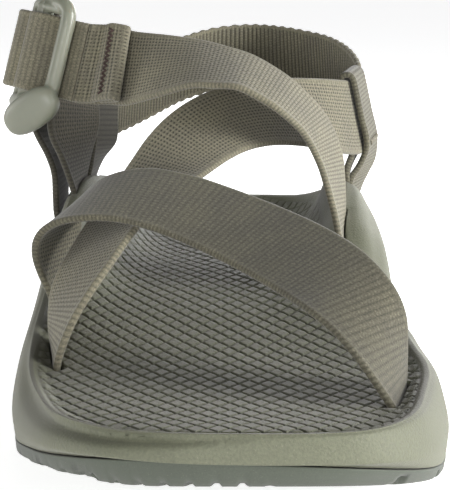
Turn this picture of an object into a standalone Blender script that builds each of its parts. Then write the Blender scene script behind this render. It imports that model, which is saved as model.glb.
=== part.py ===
"""Right-foot strappy sport sandal: moulded sole, one long webbing laced through it, ladder-lock buckle.

+X is the inner (medial) side, +Y runs from the toe to the heel, +Z is up, the ground is z = 0.
All tables below are in millimetres.
"""
import math

import bmesh
import bpy
from mathutils import Matrix, Vector

MM = 0.001

# ---------------------------------------------------------------- driving dimensions (mm)
WEB_W = 25.0            # webbing width
WEB_T = 2.0             # webbing thickness
GAP = 0.3               # clearance between touching pieces
SLOT_PLAY = 0.45        # clearance of a slot all round the webbing in it
OUTSOLE_T = 4.9         # rubber thickness at the edge
SPRING_Y = -72.0        # toe spring starts here
SPRING_H = 14.8         # height of the toe tip underside
SPRING_LEN = 71.0
LUG_DEPTH = 2.2
GROOVE_W = 3.0
GROOVES = (-128.0, -110.0, -92.0, -72.0, -52.0, -32.0, -12.0, 8.0, 28.0, 48.0, 98.0, 116.0, 130.0)

# sole outlines, one row per station round the loop, starting at the toe and going round the medial side:
# ground x, ground y, side x, side y, side z, rim x, rim y, rim z
LOOP = [
    (0, -141.6, 0, -144.8, 20.6, 0, -143.6, 27.0),
    (20, -140.4, 21, -143.8, 20.4, 20, -142.6, 26.8),
    (33, -133.5, 35, -138.4, 19.4, 33.5, -137.2, 26.5),
    (45, -121.0, 46.0, -124.6, 17.2, 42.6, -123.6, 25.9),
    (52.3, -101.5, 53.0, -103.0, 14.8, 47.7, -102.5, 25.2),
    (55.2, -77.5, 56.4, -78.0, 13.5, 51.4, -77.5, 25.2),
    (50.5, -48.0, 54.3, -48.0, 17.0, 49.2, -48.0, 27.0),
    (43.5, -18.0, 50.0, -18.0, 27.0, 46.4, -18.0, 35.5),
    (38.5, 12.0, 49.4, 12.0, 38.5, 46.4, 12.0, 50.0),
    (38.0, 42.0, 47.8, 42.0, 42.0, 44.0, 42.0, 57.5),
    (38.0, 72.0, 44.4, 72.0, 36.0, 40.0, 72.0, 54.0),
    (36.0, 100.0, 40.5, 100.0, 29.0, 35.5, 100.0, 46.0),
    (28.0, 123.0, 32.0, 124.5, 24.5, 27.5, 122.5, 40.5),
    (15.0, 136.5, 17.5, 139.5, 22.5, 15.0, 136.0, 38.5),
    (0, 140.8, 0, 144.6, 22.0, 0, 140.4, 38.0),
    (-16.0, 137.5, -18.0, 140.0, 22.5, -15.5, 136.5, 38.5),
    (-30.0, 124.5, -33.0, 126.0, 24.5, -28.5, 123.5, 40.5),
    (-38.5, 102.0, -42.0, 102.0, 29.0, -37.5, 101.0, 46.0),
    (-42.0, 73.0, -47.5, 73.0, 36.0, -42.8, 73.0, 54.5),
    (-45.5, 42.0, -54.0, 42.0, 41.0, -49.0, 42.0, 57.0),
    (-49.0, 12.0, -56.2, 12.0, 35.0, -52.3, 12.0, 47.0),
    (-53.5, -18.0, -58.2, -18.0, 23.5, -53.8, -18.0, 33.0),
    (-56.0, -48.0, -58.8, -48.0, 16.0, -54.0, -48.0, 27.0),
    (-55.4, -77.0, -56.4, -77.0, 13.5, -51.8, -77.0, 25.2),
    (-48.8, -101.0, -50.6, -103.0, 15.4, -47.0, -102.2, 25.3),
    (-40.0, -118.6, -42.6, -124.2, 18.6, -39.8, -124.0, 26.0),
    (-27.5, -132.6, -29.8, -138.4, 20.6, -27.5, -137.6, 26.6),
    (-13.0, -139.6, -15.0, -143.9, 20.8, -13.8, -142.7, 27.0),
]
# centre line height of the footbed: y, z
BED = [(-150, 26.4), (-136, 25.8), (-120, 24.0), (-105, 23.0), (-85, 22.6), (-62, 23.2), (-40, 25.2),
       (-20, 27.3), (0, 28.9), (25, 30.0), (70, 30.4), (100, 31.4), (118, 33.6), (132, 37.0), (150, 38.0)]

# webbing stations: centre x, y, z, then the direction across the webbing (front or lower edge to rear
# or upper edge); the last row of one table is the next piece's neighbour along the same long webbing
FRONT_STRAP = [
    (35.0, -97.0, 14.6, 0.30, 0.95, 0.00), (38.6, -98.0, 14.9, 0.26, 0.97, 0.00),
    (41.2, -98.8, 17.0, 0.20, 0.98, 0.00), (42.1, -98.7, 20.5, 0.16, 0.99, 0.00),
    (38.7, -97.5, 31.5, 0.47, 0.88, 0.01), (35.2, -95.2, 39.9, 0.72, 0.69, 0.09),
    (30.3, -90.0, 45.8, 0.82, 0.52, 0.23), (24.0, -81.5, 50.1, 0.81, 0.45, 0.38),
    (16.0, -70.8, 53.4, 0.75, 0.49, 0.44), (6.3, -60.5, 56.6, 0.67, 0.59, 0.45),
    (-4.6, -52.3, 60.0, 0.56, 0.69, 0.45), (-15.8, -46.7, 63.1, 0.44, 0.77, 0.47),
    (-26.3, -42.7, 64.6, 0.33, 0.83, 0.45), (-35.2, -39.4, 63.6, 0.27, 0.89, 0.37),
    (-42.1, -36.4, 61.0, 0.29, 0.92, 0.26), (-46.5, -34.1, 57.2, 0.35, 0.93, 0.15),
    (-48.5, -32.7, 52.6, 0.42, 0.91, 0.06), (-48.9, -32.4, 47.4, 0.42, 0.91, 0.01),
    (-48.4, -32.6, 42.0, 0.31, 0.95, 0.00), (-47.2, -32.9, 35.9, 0.17, 0.99, 0.01),
    (-45.8, -33.0, 28.5, 0.18, 0.98, 0.00), (-45.6, -33.4, 21.0, -0.02, 1.00, 0.00),
    (-44.4, -33.8, 16.8, -0.20, 0.98, 0.00), (-42.0, -33.0, 15.1, -0.36, 0.93, 0.00),
    (-38.0, -31.2, 15.0, -0.42, 0.90, 0.00),
]
FOREFOOT_RUN = [
    (-37.5, -66.0, 14.6, 0.32, 0.94, 0.0), (-1.0, -82.5, 14.6, 0.35, 0.93, 0.0),
    (35.0, -97.0, 14.6, 0.30, 0.95, 0.0),
]
LOWER_STRAP = [
    (-37.5, -66.0, 14.6, 0.32, 0.94, 0.00), (-42.0, -64.2, 14.8, 0.12, 0.99, 0.00),
    (-45.6, -62.6, 16.8, -0.06, 1.00, 0.00), (-46.6, -61.2, 21.5, -0.11, 0.99, 0.00),
    (-46.3, -62.1, 27.5, -0.21, 0.98, -0.04), (-44.7, -60.6, 34.0, -0.36, 0.92, -0.16),
    (-42.2, -58.0, 40.2, -0.54, 0.81, -0.25), (-39.1, -53.3, 45.8, -0.67, 0.68, -0.29),
    (-35.6, -46.7, 51.0, -0.73, 0.60, -0.31), (-31.7, -39.0, 55.9, -0.78, 0.57, -0.27),
    (-27.4, -31.1, 60.1, -0.81, 0.56, -0.18), (-22.9, -23.8, 64.1, -0.82, 0.57, -0.05),
    (-18.5, -17.8, 68.2, -0.82, 0.56, 0.12), (-14.1, -12.8, 72.6, -0.79, 0.53, 0.31),
    (-8.7, -8.2, 76.9, -0.72, 0.51, 0.46), (-2.0, -2.8, 80.3, -0.63, 0.52, 0.57),
    (6.0, 4.0, 82.1, -0.54, 0.52, 0.66), (14.9, 12.3, 82.2, -0.45, 0.49, 0.75),
    (23.9, 22.1, 81.1, -0.36, 0.40, 0.84), (34.0, 35.2, 78.9, -0.20, 0.28, 0.94),
    (40.8, 46.6, 77.4, -0.19, 0.12, 0.97), (43.9, 57.6, 77.4, -0.20, 0.06, 0.98),
    (46.6, 70.0, 78.4, -0.17, 0.04, 0.99),
]
HEEL_STRAP = [
    (46.6, 70.0, 78.4, -0.17, 0.04, 0.99), (46.9, 82.0, 81.4, -0.10, 0.06, 0.99),
    (44.0, 95.0, 85.4, -0.05, 0.15, 0.98), (38.6, 108.0, 88.8, -0.05, 0.25, 0.96),
    (30.8, 120.0, 90.8, -0.05, 0.33, 0.94), (20.0, 130.0, 92.3, -0.03, 0.35, 0.93),
    (8.0, 135.6, 92.7, 0.0, 0.35, 0.93), (-5.0, 133.6, 91.4, 0.02, 0.30, 0.95),
    (-17.0, 124.0, 88.4, 0.05, 0.24, 0.97), (-28.4, 110.0, 83.6, 0.06, 0.18, 0.98),
    (-38.6, 93.0, 80.0, 0.06, 0.10, 0.99), (-45.6, 76.0, 79.6, 0.05, 0.05, 1.0),
    (-50.0, 65.2, 82.8, 0.10, 0.03, 1.0), (-55.4, 56.4, 89.9, 0.16, 0.06, 0.98),
    (-59.0, 50.5, 94.7, 0.21, 0.08, 0.975), (-61.6, 46.2, 98.2, 0.24, 0.10, 0.965),
]
UPPER_STRAP = [
    (-43.4, 24.3, 96.0, 0.24, 0.10, 0.965), (-36.2, 21.2, 96.0, 0.17, 0.26, 0.95),
    (-29.8, 16.2, 95.6, 0.12, 0.47, 0.87), (-20.4, 7.6, 96.8, 0.15, 0.69, 0.71),
    (-10.0, 0.2, 98.0, 0.12, 0.86, 0.50), (-2.0, -4.4, 97.2, 0.16, 0.90, 0.40),
    (5.0, -6.6, 95.9, 0.19, 0.93, 0.31), (12.0, -6.8, 92.2, 0.23, 0.94, 0.27),
    (17.6, -6.0, 88.2, 0.26, 0.94, 0.22), (25.2, -2.4, 80.5, 0.32, 0.94, 0.12),
    (30.2, 1.6, 71.0, 0.34, 0.94, 0.0), (32.4, 3.2, 62.0, 0.28, 0.96, -0.10),
    (34.2, 4.0, 50.0, 0.16, 0.97, -0.10), (35.0, 4.2, 38.0, 0.05, 0.99, 0.0),
    (35.0, 4.2, 24.0, 0.0, 1.0, 0.0), (33.6, 3.6, 18.0, -0.1, 0.99, 0.0),
    (29.6, 1.4, 15.2, -0.25, 0.97, 0.0), (24.0, -1.4, 15.0, -0.42, 0.90, 0.0),
]
MIDFOOT_RUN = [
    (24.0, -1.4, 15.0, -0.42, 0.90, 0.0), (-7.0, -16.4, 15.0, -0.43, 0.90, 0.0),
    (-38.0, -31.2, 15.0, -0.42, 0.90, 0.0),
]
# risers: inner leg from the sole up to the strap, loop over the strap, outer leg back down to the sole
MEDIAL_INNER = [
    (36.0, 49.5, 14.0, 0.0, 1.0, 0.0, 21), (38.2, 50.6, 24.0, 0.0, 1.0, 0.0, 21),
    (39.4, 51.0, 40.0, 0.0, 1.0, 0.0, 21),
    (39.8, 51.2, 54.0, 0.05, 1.0, 0.0, 21), (40.8, 53.4, 60.5, 0.14, 0.98, 0.0, 21),
]
MEDIAL_OUTER = [
    (48.9, 57.0, 62.0, 0.16, 0.99, 0.0, 21), (44.6, 52.2, 57.0, 0.08, 0.99, 0.0, 21),
    (43.2, 51.2, 51.0, 0.05, 1.0, 0.0, 21), (42.6, 51.0, 40.0, 0.0, 1.0, 0.0, 21),
    (41.8, 51.0, 22.0, 0.0, 1.0, 0.0, 21),
]
LATERAL_INNER = [
    (-43.0, 47.0, 14.0, 0.0, 1.0, 0.0), (-46.2, 45.0, 26.0, 0.0, 1.0, 0.0),
    (-48.8, 44.0, 40.0, 0.0, 1.0, 0.0),
    (-49.4, 44.0, 52.0, 0.02, 1.0, 0.0), (-49.8, 43.4, 59.0, 0.14, 0.99, 0.0),
    (-50.2, 43.0, 66.0, 0.32, 0.95, 0.0), (-50.8, 43.4, 74.0, 0.57, 0.82, 0.0),
    (-50.8, 46.4, 82.0, 0.56, 0.80, -0.20),
]
LATERAL_OUTER = [
    (-59.8, 56.4, 74.0, 0.36, 0.93, -0.10), (-56.8, 50.8, 66.0, 0.18, 0.98, 0.0),
    (-55.6, 47.4, 60.0, 0.08, 1.0, 0.0), (-55.8, 46.2, 52.0, 0.03, 1.0, 0.0),
    (-55.4, 45.6, 46.4, 0.03, 1.0, 0.0), (-53.6, 45.4, 42.0, 0.03, 1.0, 0.0),
    (-50.0, 45.2, 39.4, 0.0, 1.0, 0.0),
]
REAR_FOLD_LOW = [
    (-44.2, 69.6, 60.6, 0.10, 1.0, 0.0, 18.0), (-46.0, 66.6, 54.0, 0.02, 1.0, 0.0, 15.0),
    (-46.0, 66.0, 47.0, 0.0, 1.0, 0.0, 14.0), (-45.4, 66.0, 38.0, 0.0, 1.0, 0.0, 14.0),
]
HEEL_RUN = [(-41.6, 47.0, 15.0, 0.0, 1.0, 0.0), (0.0, 48.5, 15.0, 0.0, 1.0, 0.0),
            (34.6, 49.5, 15.0, 0.0, 1.0, 0.0)]

# ---------------------------------------------------------------- buckle frame of reference
BAR_DIR = Vector((0.24, 0.10, 0.965)).normalized()          # along the three bars, upwards
FWD_DIR = Vector((0.824, -0.546, -0.149)).normalized()      # from the rear bar to the front bar
OUT_DIR = FWD_DIR.cross(BAR_DIR).normalized()               # away from the foot
FRONT_BAR = Vector((-52.9, 21.9, 98.6))
MID_BAR = FRONT_BAR - 10.8 * FWD_DIR - 1.4 * OUT_DIR
REAR_BAR = MID_BAR - 7.6 * FWD_DIR - 5.6 * OUT_DIR
FRONT_R, REAR_R = 2.4, 1.8
MID_LEN, MID_T = 5.0, 3.0
OPENING = 26.2
LOBE_AXIS = Vector((-0.76, 0.38, -0.52)).normalized()       # long axis of the lower end lobe
LOBE = (10.0, 5.7, 3.7)                                     # its half sizes
LOBE_AT = Vector((-61.8, 20.4, 82.0))

COL = {
    "rubber": ((0.130, 0.150, 0.115), 0.75, 0.0),
    "foam": ((0.190, 0.195, 0.140), 0.65, 0.0),
    "webbing": ((0.150, 0.142, 0.105), 0.85, 0.0),
    "nylon": ((0.260, 0.300, 0.245), 0.40, 0.0),
    "thread": ((0.100, 0.055, 0.030), 0.80, 0.0),
}


# ---------------------------------------------------------------- scene and small helpers
for ob in list(bpy.data.objects):
    bpy.data.objects.remove(ob, do_unlink=True)
sandal = bpy.data.collections.new("strappy_sport_sandal")
cutters = bpy.data.collections.new("cutters")
bpy.context.scene.collection.children.link(sandal)
bpy.context.scene.collection.children.link(cutters)


def material(name, kind):
    colour, rough, metal = COL[kind]
    mat = bpy.data.materials.new(name + "_" + kind)
    mat.use_nodes = True
    bsdf = mat.node_tree.nodes["Principled BSDF"]
    bsdf.inputs["Base Color"].default_value = (*colour, 1.0)
    bsdf.inputs["Roughness"].default_value = rough
    bsdf.inputs["Metallic"].default_value = metal
    return mat


def add_object(name, verts, faces, kind, cutter=False, smooth=False):
    """Make a mesh object from millimetre vertices, faces turned outwards."""
    me = bpy.data.meshes.new(name)
    me.from_pydata([tuple(c * MM for c in v) for v in verts], [], faces)
    bm = bmesh.new()
    bm.from_mesh(me)
    bmesh.ops.recalc_face_normals(bm, faces=bm.faces)
    bm.to_mesh(me)
    bm.free()
    ob = bpy.data.objects.new(name, me)
    (cutters if cutter else sandal).objects.link(ob)
    if cutter:
        ob.hide_render = True
        ob.display_type = "WIRE"
    else:
        me.materials.append(material(name, kind))
    for poly in me.polygons:
        poly.use_smooth = smooth
    return ob


def boolean(target, tool, operation):
    mod = target.modifiers.new(operation.lower() + "_" + tool.name, "BOOLEAN")
    mod.object = tool
    mod.operation = operation
    mod.solver = "EXACT"
    bpy.context.view_layer.objects.active = target
    bpy.ops.object.modifier_apply(modifier=mod.name)


def catmull(rows, i, t, closed=False):
    """Point on the Catmull-Rom curve between rows i and i + 1."""
    n = len(rows)
    pick = (lambda k: rows[k % n]) if closed else (lambda k: rows[min(max(k, 0), n - 1)])
    p0, p1, p2, p3 = pick(i - 1), pick(i), pick(i + 1), pick(i + 2)
    if not closed and i == 0:
        p0 = [2 * a - b for a, b in zip(p1, p2)]
    if not closed and i == n - 2:
        p3 = [2 * b - a for a, b in zip(p1, p2)]
    return [0.5 * (2 * b + (c - a) * t + (2 * a - 5 * b + 4 * c - d) * t * t
                   + (3 * b - a - 3 * c + d) * t ** 3) for a, b, c, d in zip(p0, p1, p2, p3)]


def smooth_rows(rows, steps, closed=False):
    out = []
    spans = len(rows) if closed else len(rows) - 1
    for i in range(spans):
        for k in range(steps):
            out.append(catmull(rows, i, k / steps, closed))
    if not closed:
        out.append(list(rows[-1]))
    return out


def table(pairs, y):
    """Smooth interpolation in a short (y, value) table."""
    for i in range(len(pairs) - 1):
        if y <= pairs[i + 1][0] or i == len(pairs) - 2:
            t = (y - pairs[i][0]) / (pairs[i + 1][0] - pairs[i][0])
            return catmull([(p[1],) for p in pairs], i, min(max(t, 0.0), 1.0))[0]


def block(name, centre, axes, sizes, bevel, segments=3):
    """Rounded block: sizes are full lengths along the three unit axes."""
    bm = bmesh.new()
    bmesh.ops.create_cube(bm, size=1.0)
    bmesh.ops.scale(bm, vec=[s * MM for s in sizes], verts=bm.verts)
    bmesh.ops.bevel(bm, geom=bm.edges[:], offset=bevel * MM, segments=segments, affect="EDGES",
                    profile=0.5, clamp_overlap=True)
    turn = Matrix(axes).transposed().to_4x4()
    bm.transform(Matrix.Translation(centre * MM) @ turn)
    me = bpy.data.meshes.new(name)
    bm.to_mesh(me)
    bm.free()
    ob = bpy.data.objects.new(name, me)
    cutters.objects.link(ob)
    ob.hide_render = True
    ob.display_type = "WIRE"
    return ob


# ---------------------------------------------------------------- sole
def spring(y):
    """Height of the underside: flat, then curving up to the toe."""
    return SPRING_H * (max(0.0, SPRING_Y - y) / SPRING_LEN) ** 1.6


def mix(a, b, t):
    return a + (b - a) * t


def ease(t):
    t = min(max(t, 0.0), 1.0)
    return t * t * (3 - 2 * t)


def under(x, y):
    """Height of the underside; the outer front corner is rounded up a little."""
    return spring(y) + 1.8 * ease((-60.0 - y) / 50) * ease((-15.0 - x) / 33)


def seam(x, y):
    """Height of the joint between outsole and midsole; it tips down to the inner side at the toe."""
    return spring(y) + OUTSOLE_T + ease((-60.0 - y) / 50) * (0.4 - 0.04 * x)


def sole_body(name, rings, top, bottom, kind, cols=8):
    """Closed body from stacked loops; the first and last loops are bridged straight across."""
    n = len(rings[0])
    verts, faces = [], []
    for ring in rings:
        verts += ring
    for r in range(len(rings) - 1):
        for k in range(n):
            a, b = r * n + k, r * n + (k + 1) % n
            faces.append((a, b, b + n, a + n))
    half = n // 2
    for base, height in ((0, bottom), ((len(rings) - 1) * n, top)):
        grid = []
        for k in range(1, half):
            right, left = verts[base + k], verts[base + n - k]
            row = [base + k]
            for c in range(1, cols):
                t = c / cols
                x, y = mix(right[0], left[0], t), mix(right[1], left[1], t)
                row.append(len(verts))
                verts.append((x, y, height(x, y, 2 * t - 1, right, left)))
            row.append(base + n - k)
            grid.append(row)
        for k in range(len(grid) - 1):
            for c in range(cols):
                faces.append((grid[k][c], grid[k][c + 1], grid[k + 1][c + 1], grid[k + 1][c]))
        for tip, row in ((base, grid[0]), (base + half, grid[-1])):
            for c in range(cols):
                faces.append((tip, row[c], row[c + 1]))
    return add_object(name, verts, faces, kind, smooth=True)


loop = smooth_rows([[float(v) for v in row] for row in LOOP], 3, closed=True)


def bed_height(x, y, s, right, left):
    """Footbed: flat in the middle, rising to the rim at both sides."""
    rim = right[2] if s < 0 else left[2]
    low = table(BED, y)
    power = 5.0
    return low + (rim - low) * abs(s) ** power


def ring(x_in, y_in, x_to, y_to, base, rise):
    """Loop between the ground outline and the side outline, rise above a base surface."""
    out = []
    for r in loop:
        x, y = mix(r[0], r[2], x_to) * x_in, mix(r[1], r[3], y_to) * y_in
        out.append((x, y, base(x, y) + rise))
    return out


outsole_rings = [ring(0.97, 0.985, 0.0, 0.0, under, 0.0), ring(1.0, 1.0, 0.0, 0.0, under, 0.9),
                 ring(1.0, 1.0, 0.42, 0.55, seam, -0.5), ring(1.0, 1.0, 0.38, 0.45, seam, 0.0)]
outsole = sole_body("outsole", outsole_rings, lambda x, y, *_: seam(x, y),
                    lambda x, y, *_: under(x, y), "rubber", cols=6)

# tread: grooves across the underside, running out through the edge
for k, y in enumerate(GROOVES):
    tread = block("groove_%d" % (k + 1), Vector((0.0, y, spring(y))), (Vector((1, 0, 0)), Vector((0, 1, 0)),
                  Vector((0, 0, 1))), (150.0, GROOVE_W, 2 * LUG_DEPTH), 0.4, 1)
    boolean(outsole, tread, "DIFFERENCE")

midsole_rings = [
    ring(1.0, 1.0, 0.34, 0.40, seam, GAP), ring(1.0, 1.0, 0.42, 0.55, seam, GAP + 0.6),
    [(mix(r[0], r[2], 0.78), mix(r[1], r[3], 0.85),
      mix(seam(r[0], mix(r[1], r[3], 0.85)), r[4], 0.45)) for r in loop],
    [(r[2], r[3], r[4]) for r in loop],
    [(mix(r[2], r[5], 0.35), mix(r[3], r[6], 0.25), mix(r[4], r[7], 0.62)) for r in loop],
    [(mix(r[2], r[5], 0.62), mix(r[3], r[6], 0.5), mix(r[4], r[7], 0.90)) for r in loop],
    [(r[5], r[6], r[7]) for r in loop],
    [(r[5] * 0.955, r[6] * 0.982, r[7] - 0.5) for r in loop],
    [(r[5] * 0.92, r[6] * 0.965, r[7] - 1.6 - 0.05 * max(0.0, r[7] - 27)) for r in loop],
]
midsole = sole_body("midsole", midsole_rings, bed_height,
                    lambda x, y, *_: seam(x, y) + GAP, "foam", cols=12)


# ---------------------------------------------------------------- webbing
def frames(rows, steps):
    """Centre, tangent, across and normal at points along the webbing, plus its width."""
    pts = smooth_rows([list(r) + ([WEB_W] if len(r) == 6 else []) for r in rows], steps)
    out = []
    for i, p in enumerate(pts):
        a, b = pts[max(i - 1, 0)], pts[min(i + 1, len(pts) - 1)]
        tan = (Vector(b[:3]) - Vector(a[:3])).normalized()
        across = Vector(p[3:6]).normalized()
        out.append((Vector(p[:3]), tan, across, tan.cross(across).normalized(), p[6]))
    return out


def webbing(name, rows, steps=3, grow=0.0, trim=(0.0, 0.0), cutter=False, kind="webbing", lift=0.0,
            span=None):
    """Flat strip swept along its stations; grow adds clearance all round, trim pulls in the ends."""
    fr = frames(rows, steps)
    if span:
        fr = fr[span[0] * steps:span[1] * steps + 1]
    c0, t0, *rest0 = fr[0]
    c1, t1, *rest1 = fr[-1]
    fr[0] = (c0 + t0 * trim[0], t0, *rest0)
    fr[-1] = (c1 - t1 * trim[1], t1, *rest1)
    verts, faces = [], []
    for c, _, across, normal, width in fr:
        half_w, half_t = width / 2 + grow, WEB_T / 2 + grow
        c = c + normal * lift
        for sw, st in ((-1, -1), (1, -1), (1, 1), (-1, 1)):
            verts.append(tuple(c + across * (sw * half_w) + normal * (st * half_t)))
    n = len(fr)
    for i in range(n - 1):
        for k in range(4):
            a, b = 4 * i + k, 4 * i + (k + 1) % 4
            faces.append((a, b, b + 4, a + 4))
    faces += [(0, 1, 2, 3), tuple(4 * (n - 1) + k for k in range(4))]
    return add_object(name, verts, faces, kind, cutter)


def beside(rows, station, profile, width=WEB_W):
    """Stations of a strip lying against another strap: profile holds (out from its centre, up it)."""
    c, tan, across, normal, _ = frames(rows, 2)[station]
    return [(*(c + normal * out + across * up), *-tan, width) for out, up in profile]


LEG = 3.4                                                   # leg centre to strap centre
TOP = WEB_W / 2 + 1.6
over = [(-LEG, 9.5), (-2.7, TOP), (0.0, TOP + 1.4), (2.7, TOP), (LEG, 9.5)]
flip = [(x, y, z, -a, -b, -c, w) for x, y, z, a, b, c, w in
        beside(LOWER_STRAP, 42, [(-LEG, -10.0), (-LEG, 0.0)] + over + [(LEG, 0.0), (LEG, -9.0)], 21)]
MEDIAL_RISER = MEDIAL_INNER + flip + MEDIAL_OUTER
LATERAL_RISER = ([(*r, WEB_W) for r in LATERAL_INNER]
                 + beside(HEEL_STRAP, 26, [(-5.2, 1.5), (-4.0, 7.5)] + over[1:4]
                 + [(LEG + 0.3, 9.5), (LEG + 0.9, 2.0), (LEG + 1.8, -7.0)])
                 + [(*r, WEB_W) for r in LATERAL_OUTER])
REAR_FOLD = beside(HEEL_STRAP, 22, [(-LEG, 6.0), (-LEG, -4.0), (-LEG, -13.0)], 18.0) + REAR_FOLD_LOW

HALF = GAP / 2
front_strap = webbing("front_strap", FRONT_STRAP, 6, trim=(HALF, HALF))
forefoot_run = webbing("forefoot_webbing_run", FOREFOOT_RUN, 1, trim=(HALF, HALF))
lower_strap = webbing("lower_instep_strap", LOWER_STRAP, 2, trim=(HALF, HALF))
heel_strap = webbing("heel_strap", HEEL_STRAP, 2, trim=(HALF, HALF))
upper_strap = webbing("upper_instep_strap", UPPER_STRAP, 2, trim=(HALF, HALF))
midfoot_run = webbing("midfoot_webbing_run", MIDFOOT_RUN, 1, trim=(HALF, HALF))
medial_riser = webbing("medial_riser", MEDIAL_RISER, 2)
lateral_riser = webbing("lateral_riser", LATERAL_RISER, 2)
rear_fold = webbing("lateral_riser_rear_fold", REAR_FOLD, 2)
heel_run = webbing("heel_webbing_run", HEEL_RUN, 1)

# slots and channels in the midsole, each the shape of the webbing in it with play all round
for label, rows, steps, first, last in (
        ("front_a", FRONT_STRAP, 6, 0, 5), ("front_b", FRONT_STRAP, 6, 19, 24),
        ("forefoot", FOREFOOT_RUN, 1, 0, 2), ("lower", LOWER_STRAP, 2, 0, 5),
        ("upper", UPPER_STRAP, 2, 11, 17), ("midfoot", MIDFOOT_RUN, 1, 0, 2),
        ("medial_a", MEDIAL_RISER, 2, 0, 4), ("medial_b", MEDIAL_RISER, 2, 14, 18),
        ("lateral_a", LATERAL_RISER, 2, 0, 5), ("lateral_b", LATERAL_RISER, 2, 19, 23),
        ("fold", REAR_FOLD, 2, 3, 6), ("heel", HEEL_RUN, 1, 0, 2)):
    play = SLOT_PLAY * (1.6 if label == "front_a" else 1.0)
    tool = webbing("slot_" + label, rows, steps, grow=play, trim=(-SLOT_PLAY, -SLOT_PLAY), cutter=True,
                   span=(first, last))
    boolean(midsole, tool, "DIFFERENCE")

# ---------------------------------------------------------------- buckle
def rod(name, start, end, radius, sides=16, cutter=True):
    """Round bar from start to end."""
    bm = bmesh.new()
    bmesh.ops.create_cone(bm, cap_ends=True, segments=sides, radius1=radius * MM, radius2=radius * MM,
                          depth=(end - start).length * MM)
    turn = (end - start).to_track_quat("Z", "Y").to_matrix().to_4x4()
    bm.transform(Matrix.Translation((start + end) / 2 * MM) @ turn)
    me = bpy.data.meshes.new(name)
    bm.to_mesh(me)
    bm.free()
    ob = bpy.data.objects.new(name, me)
    (cutters if cutter else sandal).objects.link(ob)
    ob.hide_render = cutter
    ob.display_type = "WIRE" if cutter else "TEXTURED"
    return ob


def link(name, start, end, radius):
    """Rod with ball ends."""
    bm = bmesh.new()
    length = (end - start).length
    bmesh.ops.create_uvsphere(bm, u_segments=14, v_segments=8, radius=radius * MM)
    for v in bm.verts:
        if v.co.z > radius * MM * 0.01:
            v.co.z += length * MM / 2
        elif v.co.z < -radius * MM * 0.01:
            v.co.z -= length * MM / 2
    bmesh.ops.delete(bm, geom=[v for v in bm.verts if abs(v.co.z) <= radius * MM * 0.01], context="VERTS")
    rims = [e for e in bm.edges if e.is_boundary]
    bmesh.ops.bridge_loops(bm, edges=rims)
    turn = (end - start).to_track_quat("Z", "Y").to_matrix().to_4x4()
    bm.transform(Matrix.Translation((start + end) / 2 * MM) @ turn)
    me = bpy.data.meshes.new(name)
    bm.to_mesh(me)
    bm.free()
    ob = bpy.data.objects.new(name, me)
    cutters.objects.link(ob)
    ob.hide_render = True
    ob.display_type = "WIRE"
    return ob


def lobe(name, centre, axes, half):
    """Pebble with flattened faces: half sizes along the three unit axes."""
    bm = bmesh.new()
    bmesh.ops.create_uvsphere(bm, u_segments=20, v_segments=12, radius=1.0)
    for v in bm.verts:
        v.co = Vector([math.copysign(abs(c) ** 0.8, c) * h * MM for c, h in zip(v.co, half)])
    turn = Matrix(axes).transposed().to_4x4()
    bm.transform(Matrix.Translation(centre * MM) @ turn)
    me = bpy.data.meshes.new(name)
    bm.to_mesh(me)
    bm.free()
    ob = bpy.data.objects.new(name, me)
    cutters.objects.link(ob)
    ob.hide_render = True
    ob.display_type = "WIRE"
    return ob


half_open = OPENING / 2
TOP_END = half_open + 2.3
buckle = rod("buckle_frame", FRONT_BAR - BAR_DIR * (half_open + 3), FRONT_BAR + BAR_DIR * TOP_END,
             FRONT_R, 20, cutter=False)
buckle.data.materials.append(material("buckle_frame", "nylon"))
buckle_axes = (FWD_DIR, OUT_DIR, BAR_DIR)
lobe_side = LOBE_AXIS.cross(Vector((0.1, -0.97, 0.2))).normalized()
lobe_axes = (LOBE_AXIS, lobe_side, LOBE_AXIS.cross(lobe_side).normalized())
low = -half_open - 2.6
pieces = [
    block("mid_bar", MID_BAR, buckle_axes, (MID_LEN, MID_T, OPENING + 6), 0.9, 2),
    rod("rear_bar", REAR_BAR + BAR_DIR * (low - 1), REAR_BAR + BAR_DIR * TOP_END, REAR_R, 16),
    link("top_front", FRONT_BAR + BAR_DIR * TOP_END, MID_BAR + BAR_DIR * TOP_END, 2.3),
    link("top_rear", MID_BAR + BAR_DIR * TOP_END, REAR_BAR + BAR_DIR * TOP_END, 2.3),
    link("low_front", FRONT_BAR + BAR_DIR * (low - 0.6), MID_BAR + BAR_DIR * low, 2.6),
    link("low_rear", MID_BAR + BAR_DIR * low, REAR_BAR + BAR_DIR * (low - 1.0), 2.6),
    lobe("low_lobe", LOBE_AT, lobe_axes, LOBE),
]
for piece in pieces:
    boolean(buckle, piece, "UNION")
for poly in buckle.data.polygons:
    poly.use_smooth = True

# the upper strap turns round the middle bar: under the front bar, round, and back under the front bar
def at(centre, fwd, out):
    return centre + FWD_DIR * fwd + OUT_DIR * out


def bar_rows(points):
    return [(*p, *BAR_DIR) for p in points]


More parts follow.
